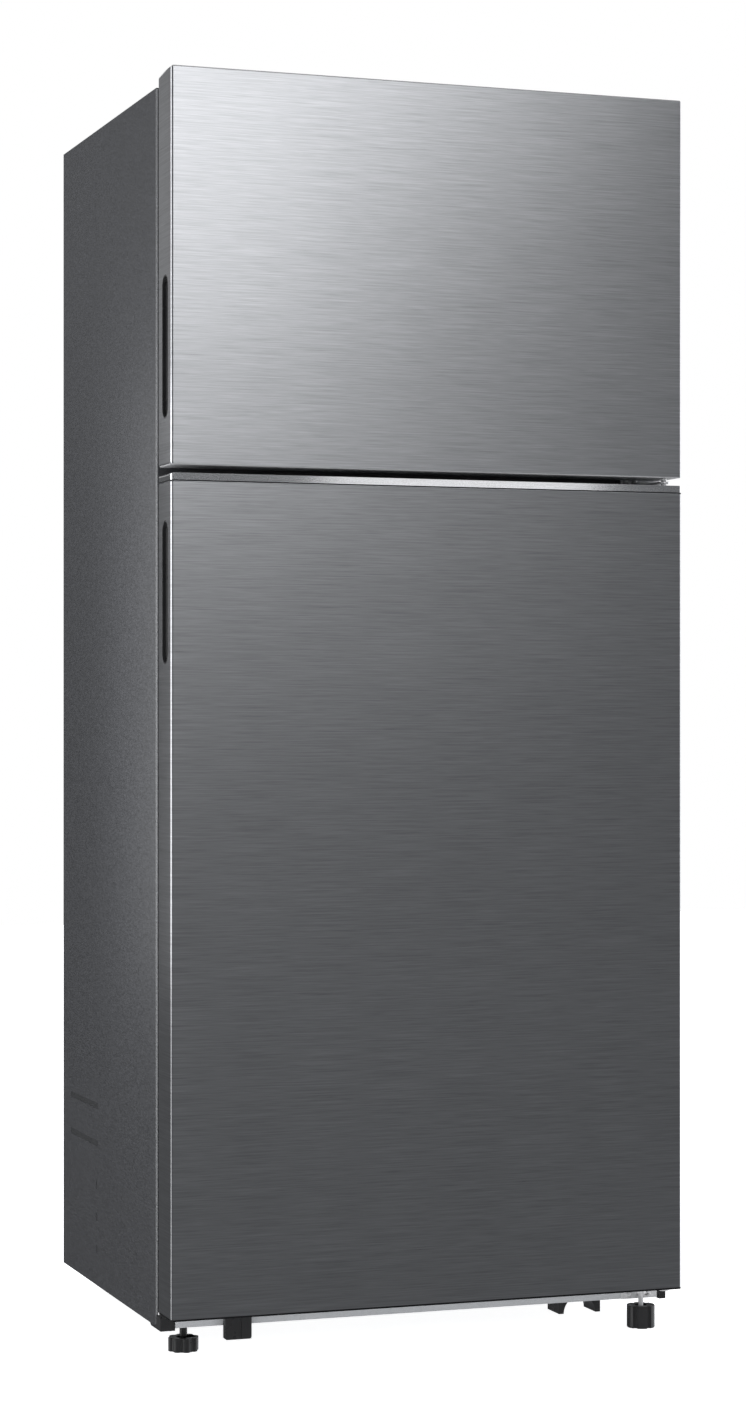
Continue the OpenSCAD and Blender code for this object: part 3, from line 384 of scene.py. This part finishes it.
def weighting_group(name, behind, weight, least_angle):
    """Geometry nodes that give sharp edges a bevel weight: 1 where y is less than behind, else weight."""
    group, source, result = geometry_group(name)
    nodes, links = group.nodes, group.links
    ends = nodes.new("GeometryNodeInputMeshEdgeVertices")
    split = nodes.new("ShaderNodeSeparateXYZ")
    links.new(ends.outputs["Position 1"], split.inputs[0])
    front = nodes.new("ShaderNodeMath")
    front.operation = "LESS_THAN"
    front.inputs[1].default_value = behind
    links.new(split.outputs["Y"], front.inputs[0])
    size = nodes.new("ShaderNodeMapRange")
    size.inputs["To Min"].default_value = weight
    links.new(front.outputs[0], size.inputs["Value"])
    bend = nodes.new("GeometryNodeInputMeshEdgeAngle")
    sharp = nodes.new("ShaderNodeMath")
    sharp.operation = "GREATER_THAN"
    sharp.inputs[1].default_value = math.radians(least_angle)
    links.new(bend.outputs["Unsigned Angle"], sharp.inputs[0])
    total = nodes.new("ShaderNodeMath")
    total.operation = "MULTIPLY"
    links.new(size.outputs["Result"], total.inputs[0])
    links.new(sharp.outputs[0], total.inputs[1])
    store = nodes.new("GeometryNodeStoreNamedAttribute")
    store.data_type = "FLOAT"
    store.domain = "EDGE"
    store.inputs["Name"].default_value = "bevel_weight_edge"
    links.new(source, store.inputs["Geometry"])
    links.new(total.outputs[0], store.inputs["Value"])
    links.new(store.outputs[0], result)
    return group


JOIN = joining_group()


def soften(names, width, segments=2, angle=35, front=None):
    """Rounds the sharp edges of CAD nodes with modifiers only, and less so behind the plane y = front."""
    for name in names:
        obj = NODES[name]
        obj.modifiers.new("join", "NODES").node_group = JOIN
        flats = obj.modifiers.new("flats", "DECIMATE")
        flats.decimate_type = "DISSOLVE"
        flats.angle_limit = math.radians(FLAT_ANGLE)
        if front is not None:
            weights = weighting_group(name + "_weights", front, REAR_EDGE_WEIGHT, angle)
            obj.modifiers.new("weights", "NODES").node_group = weights
        edges = obj.modifiers.new("edges", "BEVEL")
        edges.width = width
        edges.segments = segments
        edges.limit_method = "ANGLE" if front is None else "WEIGHT"
        edges.angle_limit = math.radians(angle)
        obj.modifiers.new("shading", "WEIGHTED_NORMAL").keep_sharp = False


# Each width is in metres, and each least angle in degrees
DOOR_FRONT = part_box("fridge_door_panel")[0].y
soften(["freezer_door_panel", "fridge_door_panel"], 0.0015, 4, 12, DOOR_FRONT + 0.0085)
soften(["fridge_door_band"], 0.0012, 3, 12)
soften(["freezer_door_caps", "fridge_door_bottom_cap"], 0.0004, 2, 12)
CABINET_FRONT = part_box("left_side_panel")[0].y
soften(["left_side_panel", "right_side_panel"], 0.0024, 4, 12, CABINET_FRONT + 0.0004)
soften(["top_panel"], 0.0005)
soften(["base_rail", "base_mouldings", "top_hinge", "middle_hinge", "bottom_hinge"], 0.0006)
soften(["top_hinge_cover"], 0.003, 3)
soften(["left_foot", "right_foot_knob"], 0.0008, 2, 40)
soften(["machine_cover", "divider_cover"], 0.0006)
soften(["ice_rack", "ice_tray", "ice_bin", "shelf_trims", "air_duct", "evaporator_cover"], 0.0008)
soften(["left_crisper", "right_crisper", "freezer_door_bins", "fridge_door_bins", "drain_pan"], 0.001)
soften(["glass_shelves", "lamp_covers", "temperature_slider", "machine_base"], 0.0006)
soften(["freezer_door_liner", "fridge_door_liner"], 0.006, 4)


# ---------------------------------------------------------------- detail pieces

DOOR_EDGE_R = 0.0042
CABINET_SIDES = ((-1, "left_side_panel"), (1, "right_side_panel"))


def joined_loops(loops):
    """Closed mesh from equal closed loops of points: each loop joins the next one, and the last the first."""
    shape = bmesh.new()
    rows = [[shape.verts.new(point) for point in loop] for loop in loops]
    for here, there in zip(rows, rows[1:] + rows[:1]):
        for j in range(len(here)):
            k = (j + 1) % len(here)
            shape.faces.new((here[j], here[k], there[k], there[j]))
    bmesh.ops.recalc_face_normals(shape, faces=shape.faces)
    return shape


def picture_frame(low, high, plane, profile):
    """Mitred ring round a rectangle, from a closed profile of (outward, place) in metres.
    In plane "XZ" the ring stands up and place is y; in plane "XY" it lies flat and place is z."""
    rings = []
    for out, place in profile:
        left, right = low.x - out, high.x + out
        if plane == "XZ":
            near, far = low.z - out, high.z + out
        else:
            near, far = low.y - out, high.y + out
        corners = ((left, near), (right, near), (right, far), (left, far))
        rings.append([(a, place, b) if plane == "XZ" else (a, b, place) for a, b in corners])
    return joined_loops(rings)


def pushed(outline, axis, start, end):
    """Closed mesh from a flat outline pushed from start to end along X or Z."""
    shape = bmesh.new()
    place = {"X": lambda a, b, along: (along, a, b), "Z": lambda a, b, along: (a, b, along)}[axis]
    first = [shape.verts.new(place(a, b, start)) for a, b in outline]
    last = [shape.verts.new(place(a, b, end)) for a, b in outline]
    shape.faces.new(first)
    shape.faces.new(list(reversed(last)))
    for i in range(len(outline)):
        j = (i + 1) % len(outline)
        shape.faces.new((first[j], first[i], last[i], last[j]))
    bmesh.ops.recalc_face_normals(shape, faces=shape.faces)
    return shape


def merged(shapes):
    """One mesh from several, which are freed."""
    total = bmesh.new()
    for shape in shapes:
        mesh = bpy.data.meshes.new("part")
        shape.to_mesh(mesh)
        shape.free()
        total.from_mesh(mesh)
        bpy.data.meshes.remove(mesh)
    return total


def piece(name, shape, slot, like, look=None, round_off=0.0, replaces=(), angle=35):
    """Makes an object of a mesh. It rides on the body of the CAD node called like."""
    mesh = bpy.data.meshes.new(name)
    shape.to_mesh(mesh)
    shape.free()
    for face in mesh.polygons:
        face.use_smooth = True
    obj = bpy.data.objects.new(name, mesh)
    bpy.context.scene.collection.objects.link(obj)
    mesh.materials.append(look or LOOKS[slot])
    if round_off:
        edges = obj.modifiers.new("edges", "BEVEL")
        edges.width = round_off
        edges.segments = 3
        edges.limit_method = "ANGLE"
        edges.angle_limit = math.radians(angle)
    obj.modifiers.new("shading", "WEIGHTED_NORMAL").keep_sharp = False
    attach(obj, NODES[like]["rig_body"])
    if replaces:
        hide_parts(*replaces)


def islands(node):
    """Low and high corners of each separate solid in a CAD node, in a fixed order."""
    shape = bmesh.new()
    shape.from_mesh(NODES[node].data)
    bmesh.ops.remove_doubles(shape, verts=shape.verts, dist=2 * WELD_DISTANCE)
    seen, boxes = set(), []
    for vert in shape.verts:
        if vert in seen:
            continue
        seen.add(vert)
        stack, found = [vert], []
        while stack:
            here = stack.pop()
            found.append(here.co.copy())
            for edge in here.link_edges:
                other = edge.other_vert(here)
                if other not in seen:
                    seen.add(other)
                    stack.append(other)
        boxes.append((Vector([min(c[i] for c in found) for i in range(3)]),
                      Vector([max(c[i] for c in found) for i in range(3)])))
    shape.free()
    return sorted(boxes, key=lambda b: (round(b[0].z, 4), round(b[0].x, 4), round(b[0].y, 4)))


def door_gasket(node):
    """Magnetic door gasket: a flat foot on the liner, a bellows, and a magnet chamber towards the cabinet."""
    low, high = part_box(node)
    # One half of the section in millimetres: inward from the gasket's edge, and back from the liner
    half = [(2.5, 0), (2.5, 1.8), (5.0, 3.0), (1.2, 5.2), (0.3, 6.6), (1.2, 8.0), (4.2, 9.2), (1.0, 10.2),
            (0.4, 12.2), (2.0, 13.4)]
    section_width = 19.0
    outer = [(-inward * MM, low.y + back * MM) for inward, back in half]
    inner = [((inward - section_width) * MM, low.y + back * MM) for inward, back in reversed(half)]
    shape = picture_frame(low, high, "XZ", outer + inner)
    piece(node + "_bellows", shape, "gasket_rubber", node, round_off=0.0006, replaces=[node], angle=20)


def bin_rims(node, name):
    """Rolled rim on the open top of every bin in the node."""
    inward = 0.0042
    shapes = []
    for low, high in islands(node):
        top = high.z
        # Section of the rim: outward from the bin's sides, and height
        lip = [(0.0002, top - 0.006), (0.0006, top - 0.003), (0.0002, top + 0.0006), (-0.0015, top + 0.0014),
               (0.0008 - inward, top + 0.0008), (-inward, top - 0.002), (0.0012 - inward, top - 0.006)]
        shapes.append(picture_frame(low, high, "XY", lip))
    piece(name, merged(shapes), SLOT_OF[node], node, look=RIM_LOOK, round_off=0.0005, angle=15)


def bin_fronts(node, name):
    """Raised band with fine upright flutes across the front of every door bin."""
    flutes, rise, sunk = 56, 0.0012, 0.001
    lifts = (0.25, 0.85, 1.0, 0.85)
    end_gap, top_gap, lowest = 0.03, 0.012, 0.52
    shapes = []
    for low, high in islands(node):
        x0, x1 = low.x + end_gap, high.x - end_gap
        z0, z1 = low.z + (high.z - low.z) * lowest, high.z - top_gap
        step = (x1 - x0) / flutes
        front = high.y
        outline = [(x0, front - sunk)]
        for i in range(flutes):
            for j, lift in enumerate(lifts):
                outline.append((x0 + step * (i + j / len(lifts)), front + rise * lift))
        outline += [(x1, front + rise * lifts[0]), (x1, front - sunk)]
        shapes.append(pushed(outline, "Z", z0, z1))
    piece(name, merged(shapes), SLOT_OF[node], node, look=RIM_LOOK)


def crisper_grip(node):
    """Turned-down grip along the top front edge of a crisper, with a finger hollow behind it."""
    low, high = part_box(node)
    y, z, end_gap = low.y, high.z, 0.012
    # Section of the grip: y and z, from the crisper's top front edge
    hook = [(y + 0.003, z + 0.0008), (y - 0.0065, z + 0.0008), (y - 0.0085, z - 0.001),
            (y - 0.0088, z - 0.024), (y - 0.0078, z - 0.0265), (y - 0.0066, z - 0.0255),
            (y - 0.0064, z - 0.004), (y + 0.003, z - 0.003)]
    shape = pushed(hook, "X", low.x + end_gap, high.x - end_gap)
    piece(node + "_grip", shape, "trim_plastic", node, round_off=0.0008)


def screw_head(centre, axis, radius, height):
    """Domed head with a cross recess, as a grid in polar steps closed by a flat back."""
    rings, sides, dome = 14, 48, 0.8
    arm, reach, recess, slope = radius * 0.17, radius * 0.6, height * 0.6, radius * 0.08
    up = Vector(axis)
    right = up.orthogonal().normalized()
    ahead = up.cross(right)
    shape = bmesh.new()
    rows = []
    for i in range(rings + 1):
        r = radius * i / rings
        row = []
        for j in range(sides):
            a = 2 * math.pi * j / sides
            x, y = r * math.cos(a), r * math.sin(a)
            h = height * math.sqrt(max(0.0, 1 - dome * (r / radius) ** 2))
            inside = max(min(arm - abs(x), reach - abs(y)), min(arm - abs(y), reach - abs(x)))
            h -= recess * max(0.0, min(1.0, inside / slope))
            row.append(shape.verts.new(Vector(centre) + right * x + ahead * y + up * h))
            if i == 0:
                break
        rows.append(row)
    rows.append([shape.verts.new(v.co - up * (v.co - Vector(centre)).dot(up)) for v in rows[-1]])
    for j in range(sides):
        k = (j + 1) % sides
        shape.faces.new((rows[0][0], rows[1][j], rows[1][k]))
    for a, b in zip(rows[1:], rows[2:]):
        for j in range(sides):
            k = (j + 1) % sides
            shape.faces.new((a[j], b[j], b[k], a[k]))
    shape.faces.new(list(reversed(rows[-1])))
    bmesh.ops.recalc_face_normals(shape, faces=shape.faces)
    return shape


def hinge_screw_heads():
    """Heads in place of the plain ones. They face up, or forward where the solid is flat in y."""
    heads = []
    for low, high in islands("hinge_screws"):
        size, middle = high - low, (low + high) / 2
        if size.z < size.x:
            heads.append(screw_head((middle.x, middle.y, low.z), (0, 0, 1), size.x / 2, size.z))
        else:
            heads.append(screw_head((middle.x, high.y, middle.z), (0, -1, 0), size.x / 2, size.y))
    piece("hinge_screw_heads", merged(heads), "screw_steel", "hinge_screws", replaces=["hinge_screws"])


def cover_screws():
    """Screws round the machine cover, on its outer face."""
    low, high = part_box("machine_cover")
    from_side, from_edge, radius, height = 0.014, 0.010, 0.0045, 0.0022
    heads = []
    for x in (low.x + from_side, (low.x + high.x) / 2, high.x - from_side):
        for z in (low.z + from_edge, high.z - from_edge):
            heads.append(screw_head((x, high.y, z), (0, 1, 0), radius, height))
    piece("machine_cover_screws", merged(heads), "screw_steel", "machine_cover")


def threaded_stud():
    """Right foot's stud with its thread, as one closed helical surface."""
    low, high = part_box("right_foot_stud")
    middle, radius = (low + high) / 2, (high.x - low.x) / 2
    pitch, depth, sides, per_turn = 0.00125, 0.0006, 28, 6
    steps = int((high.z - low.z) / pitch * per_turn)
    shape = bmesh.new()
    rows = []
    for i in range(steps + 1):
        z = low.z + (high.z - low.z) * i / steps
        row = []
        for j in range(sides):
            phase = ((z - low.z) / pitch - j / sides) % 1.0
            r = radius - depth * (1 - abs(2 * phase - 1))
            a = 2 * math.pi * j / sides
            row.append(shape.verts.new((middle.x + r * math.cos(a), middle.y + r * math.sin(a), z)))
        rows.append(row)
    for a, b in zip(rows, rows[1:]):
        for j in range(sides):
            k = (j + 1) % sides
            shape.faces.new((a[j], a[k], b[k], b[j]))
    shape.faces.new(list(reversed(rows[0])))
    shape.faces.new(rows[-1])
    bmesh.ops.recalc_face_normals(shape, faces=shape.faces)
    piece("right_foot_thread", shape, SLOT_OF["right_foot_stud"], "right_foot_stud",
          replaces=["right_foot_stud"])


def door_outline(low, high, grow):
    """Open line round the left, front and right of a door, grown outward, with its rounded front edges."""
    steps, back = 8, high.y - 0.002
    r, left, right, front = DOOR_EDGE_R + grow, low.x - grow, high.x + grow, low.y - grow
    points = [(left, back)]
    for start, x in ((math.pi, left + r), (1.5 * math.pi, right - r)):
        for k in range(steps + 1):
            a = start + k * math.pi / (2 * steps)
            points.append((x + r * math.cos(a), front + r + r * math.sin(a)))
    return points + [(right, back)]


def door_strip(name, like, bottom, top, proud, thick, slot, look):
    """Thin strip round the front and sides of a door, between two heights."""
    low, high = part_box(like)
    outline = door_outline(low, high, proud) + list(reversed(door_outline(low, high, proud - thick)))
    piece(name, pushed(outline, "Z", bottom, top), slot, like, look=look)


def door_strips():
    """Near-black painted shadow in the groove under the band, a lighter steel strip as a painted highlight
    along the panel's top edge, and black edging at the foot with a painted shadow line.
    """
    like = "fridge_door_panel"
    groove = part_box("fridge_door_panel")[1].z
    shadow_low, shadow_high, highlight_low = groove - 0.0002, groove + 0.0015, groove - 0.0014
    foot_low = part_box("fridge_door_bottom_cap")[0].z
    foot_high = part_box("fridge_door_panel")[0].z + 0.001
    # Near-black look: painted shadow, for the shade in the groove under the band and along the door's foot
    dark = rubbery("painted_shadow_strip", (0.006, 0.006, 0.007), 0.1)
    door_strip("band_groove_painted_shadow", like, shadow_low, shadow_high, 0.0004, 0.0016, "gasket_rubber", dark)
    # Steel half as light again as the door's: a painted highlight along the panel's rounded top edge
    highlight_steel = brushed("folded_steel_painted_highlight", shade(STEEL, 1.45), 0.29, 0.45, 0.1)
    door_strip("fridge_panel_fold_highlight", like, highlight_low, shadow_low, 0.0003, 0.0012, "door_steel", highlight_steel)
    # Black edging at the door's foot in the near-black look: partly the real black edging, partly a painted
    # shadow line under the door
    door_strip("door_bottom_edging_and_shadow", like, foot_low, foot_high, 0.0003, 0.0012, "black_plastic", dark)


def rounded_box(y, z, half_y, half_z, r):
    """Outline of a box with round corners about the point y, z."""
    steps = 6
    points = []
    for side_y, side_z, start in ((1, 1, 0), (-1, 1, 90), (-1, -1, 180), (1, -1, 270)):
        corner_y, corner_z = y + side_y * (half_y - r), z + side_z * (half_z - r)
        for k in range(steps + 1):
            a = math.radians(start + 90 / steps * k)
            points.append((corner_y + r * math.cos(a), corner_z + r * math.sin(a)))
    return points


def pressing_floors():
    """Floors of the pressed ribs and dimples on the cabinet sides, darker than the sides as painted shade in
    the recesses, and less glossy from the drawing of the sheet.
    """
    # Darker than the side paint: painted shade in the pressings
    look = painted("pressing_painted_shade", (0.024, 0.025, 0.027), 0.62, 330.0, 0.21, fleck=0.4, draw=3.0)
    # Middle and size of each pressing in millimetres: y, z, length along Y, height
    ribs = [(171, z, 174, 9) for z in (260, 318)]
    dimples = [(92, z, 8, 14) for z in (97, 147, 196)]
    deep, shallow = 0.0008, 0.00045
    for side, node in CABINET_SIDES:
        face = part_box(node)[0 if side < 0 else 1].x
        shapes = []
        for y, z, long, tall in ribs + dimples:
            outline = rounded_box(y * MM, z * MM, long / 2 * MM, tall / 2 * MM, min(long, tall) / 2 * MM)
            shapes.append(pushed(outline, "X", face - side * deep, face - side * shallow))
        piece(node + "_pressings", merged(shapes), "side_paint", node, look=look)


def cabinet_edges():
    """Rolled edge down each side of the cabinet's front, in a much lighter paint than the sides: a painted
    highlight on its rounding.
    """
    # Much lighter than the side paint: a painted highlight on the rolled edge
    look = painted("edge_painted_highlight", (0.27, 0.273, 0.28), 0.32, coat=0.4)
    inward, back, r, sides = 0.0016, 0.0012, 0.0017, 20
    foot_gap, top_gap = 0.004, 0.002
    for side, node in CABINET_SIDES:
        low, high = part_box(node)
        x, y = (low.x if side < 0 else high.x) - side * inward, low.y + back
        ring = []
        for k in range(sides):
            a = math.pi * k / (sides / 2)
            ring.append((x + r * math.cos(a), y + r * math.sin(a)))
        shape = pushed(ring, "Z", low.z + foot_gap, high.z - top_gap)
        piece(node + "_edge", shape, "side_paint", node, look=look)


RIM_LOOK = gloss("bin_rim", (0.70, 0.76, 0.79), 0.22)
for gasket in ("freezer_door_gasket", "fridge_door_gasket"):
    door_gasket(gasket)
for bins, title in (("freezer_door_bins", "freezer_bin"), ("fridge_door_bins", "fridge_bin")):
    bin_rims(bins, title + "_rims")
    bin_fronts(bins, title + "_flutes")
bin_rims("ice_bin", "ice_bin_rim")
for crisper in ("left_crisper", "right_crisper"):
    crisper_grip(crisper)
hinge_screw_heads()
cover_screws()
threaded_stud()
door_strips()
pressing_floors()
cabinet_edges()


# ---------------------------------------------------------------- stage, lights and camera

CAMERA_PLACE = (-1.581, -4.605, 0.913)
CAMERA_TURN = -19.21
CAMERA_LENS = 79.6
CAMERA_SHIFT = 0.0077


def smooth_step(tree, value, start, end, low, high):
    """Goes smoothly from low to high while value goes from start to end."""
    node = tree.nodes.new("ShaderNodeMapRange")
    node.interpolation_type = "SMOOTHSTEP"
    for key, number in (("From Min", start), ("From Max", end), ("To Min", low), ("To Max", high)):
        node.inputs[key].default_value = number
    tree.links.new(value, node.inputs["Value"])
    return node.outputs["Result"]


def towards(tree, way, direction):
    """Dot product of the world's own direction and a given one."""
    node = tree.nodes.new("ShaderNodeVectorMath")
    node.operation = "DOT_PRODUCT"
    node.inputs[1].default_value = direction
    tree.links.new(way, node.inputs[0])
    return node.outputs["Value"]


def combine(tree, operation, first, second):
    """Sum or product of two numbers."""
    node = tree.nodes.new("ShaderNodeMath")
    node.operation = operation
    tree.links.new(first, node.inputs[0])
    tree.links.new(second, node.inputs[1])
    return node.outputs[0]


def sky():
    """Light from all round: brighter from the right and above, darker from behind, white to the camera."""
    world = bpy.data.worlds.new("studio")
    bpy.context.scene.world = world
    world.use_nodes = True
    tree = world.node_tree
    way = tree.nodes.new("ShaderNodeTexCoord").outputs["Generated"]
    right = smooth_step(tree, towards(tree, way, (0.9, 0.44, 0.0)), 0.3, 0.9, 0.168, 0.85)
    behind = smooth_step(tree, towards(tree, way, (-0.45, 0.9, 0.0)), 0.5, 0.95, 1.0, 0.68)
    above = smooth_step(tree, towards(tree, way, (0.0, 0.0, 1.0)), 0.5, 0.85, 0.0, 0.9)
    strength = combine(tree, "ADD", combine(tree, "MULTIPLY", right, behind), above)
    background = tree.nodes["Background"]
    background.inputs["Color"].default_value = (0.95, 0.97, 1.0, 1)
    tree.links.new(strength, background.inputs["Strength"])
    white = tree.nodes.new("ShaderNodeBackground")
    white.inputs["Color"].default_value = (1, 1, 1, 1)
    path = tree.nodes.new("ShaderNodeLightPath")
    mix = tree.nodes.new("ShaderNodeMixShader")
    tree.links.new(path.outputs["Is Camera Ray"], mix.inputs[0])
    tree.links.new(background.outputs[0], mix.inputs[1])
    tree.links.new(white.outputs[0], mix.inputs[2])
    tree.links.new(mix.outputs[0], tree.nodes["World Output"].inputs["Surface"])


def paper_floor():
    """White paper under the part, just below its feet. Glossy surfaces don't mirror it."""
    half_size, below = 9, 0.0005
    shape = bmesh.new()
    bmesh.ops.create_grid(shape, x_segments=2, y_segments=2, size=half_size)
    mesh = bpy.data.meshes.new("floor")
    shape.to_mesh(mesh)
    shape.free()
    look = Look("floor_paper")
    fibre = look.noise(look.stretch(), scale=3.0, detail=6.0)
    look.link(look.tint(fibre, (0.90, 0.90, 0.90), (0.94, 0.94, 0.94)), "Base Color")
    look.set(Roughness=0.9, Emission_Color=(1, 1, 1, 1), Emission_Strength=0.84)
    mesh.materials.append(look.mat)
    floor = bpy.data.objects.new("floor", mesh)
    floor.location.z = -below
    floor.visible_glossy = False
    bpy.context.scene.collection.objects.link(floor)


def area(name, place, aim, wide, high, watts):
    """Rectangular lamp at place, facing aim and hidden from the camera."""
    light = bpy.data.lights.new(name, "AREA")
    light.shape = "RECTANGLE"
    light.size = wide
    light.size_y = high
    light.energy = watts
    lamp = bpy.data.objects.new(name, light)
    lamp.location = place
    lamp.rotation_euler = (Vector(aim) - Vector(place)).to_track_quat("-Z", "Y").to_euler()
    lamp.visible_camera = False
    bpy.context.scene.collection.objects.link(lamp)


def camera():
    """Level camera in front of the part and to its left, where the photo was taken from."""
    sensor_width, far_end = 36, 60
    data = bpy.data.cameras.new("camera")
    data.sensor_width = sensor_width
    data.lens = CAMERA_LENS
    data.shift_y = CAMERA_SHIFT
    data.clip_end = far_end
    cam = bpy.data.objects.new("camera", data)
    cam.location = CAMERA_PLACE
    cam.rotation_euler = (math.radians(90), 0, math.radians(CAMERA_TURN))
    bpy.context.scene.collection.objects.link(cam)
    bpy.context.scene.camera = cam


sky()
paper_floor()
# Place, aim, width and height in metres, then watts
area("softbox_high", (0.64, -4.6, 3.24), (0.0, -0.335, 1.2), 2.72, 1.02, 23.9)
area("softbox_low", (-0.10, -4.6, 2.30), (0.0, -0.335, 1.2), 2.72, 0.96, 17.4)
area("side_panel_light", (-0.83, -0.35, 0.97), (-0.395, -0.65, 0.97), 0.9, 0.9, 3.65)
area("left_strip_high", (-3.0, 0.35, 2.15), (-0.39, -0.33, 2.15), 1.6, 1.9, 38.0)
area("left_strip_low", (-3.0, 0.35, 0.2), (-0.39, -0.33, 0.2), 1.6, 2.0, 16.0)
area("right_strip", (3.2, 0.62, 1.0), (0.395, -0.33, 1.0), 1.5, 2.3, 22.0)
area("back_card", (-1.47, 3.55, 2.25), (-0.395, -0.3, 1.6), 1.2, 1.1, 1.1)
area("band_light", (1.66, -4.6, 1.6), (0.04, -0.335, 1.257), 0.8, 0.18, 0.5)
camera()
bpy.context.scene.view_settings.view_transform = "Standard"
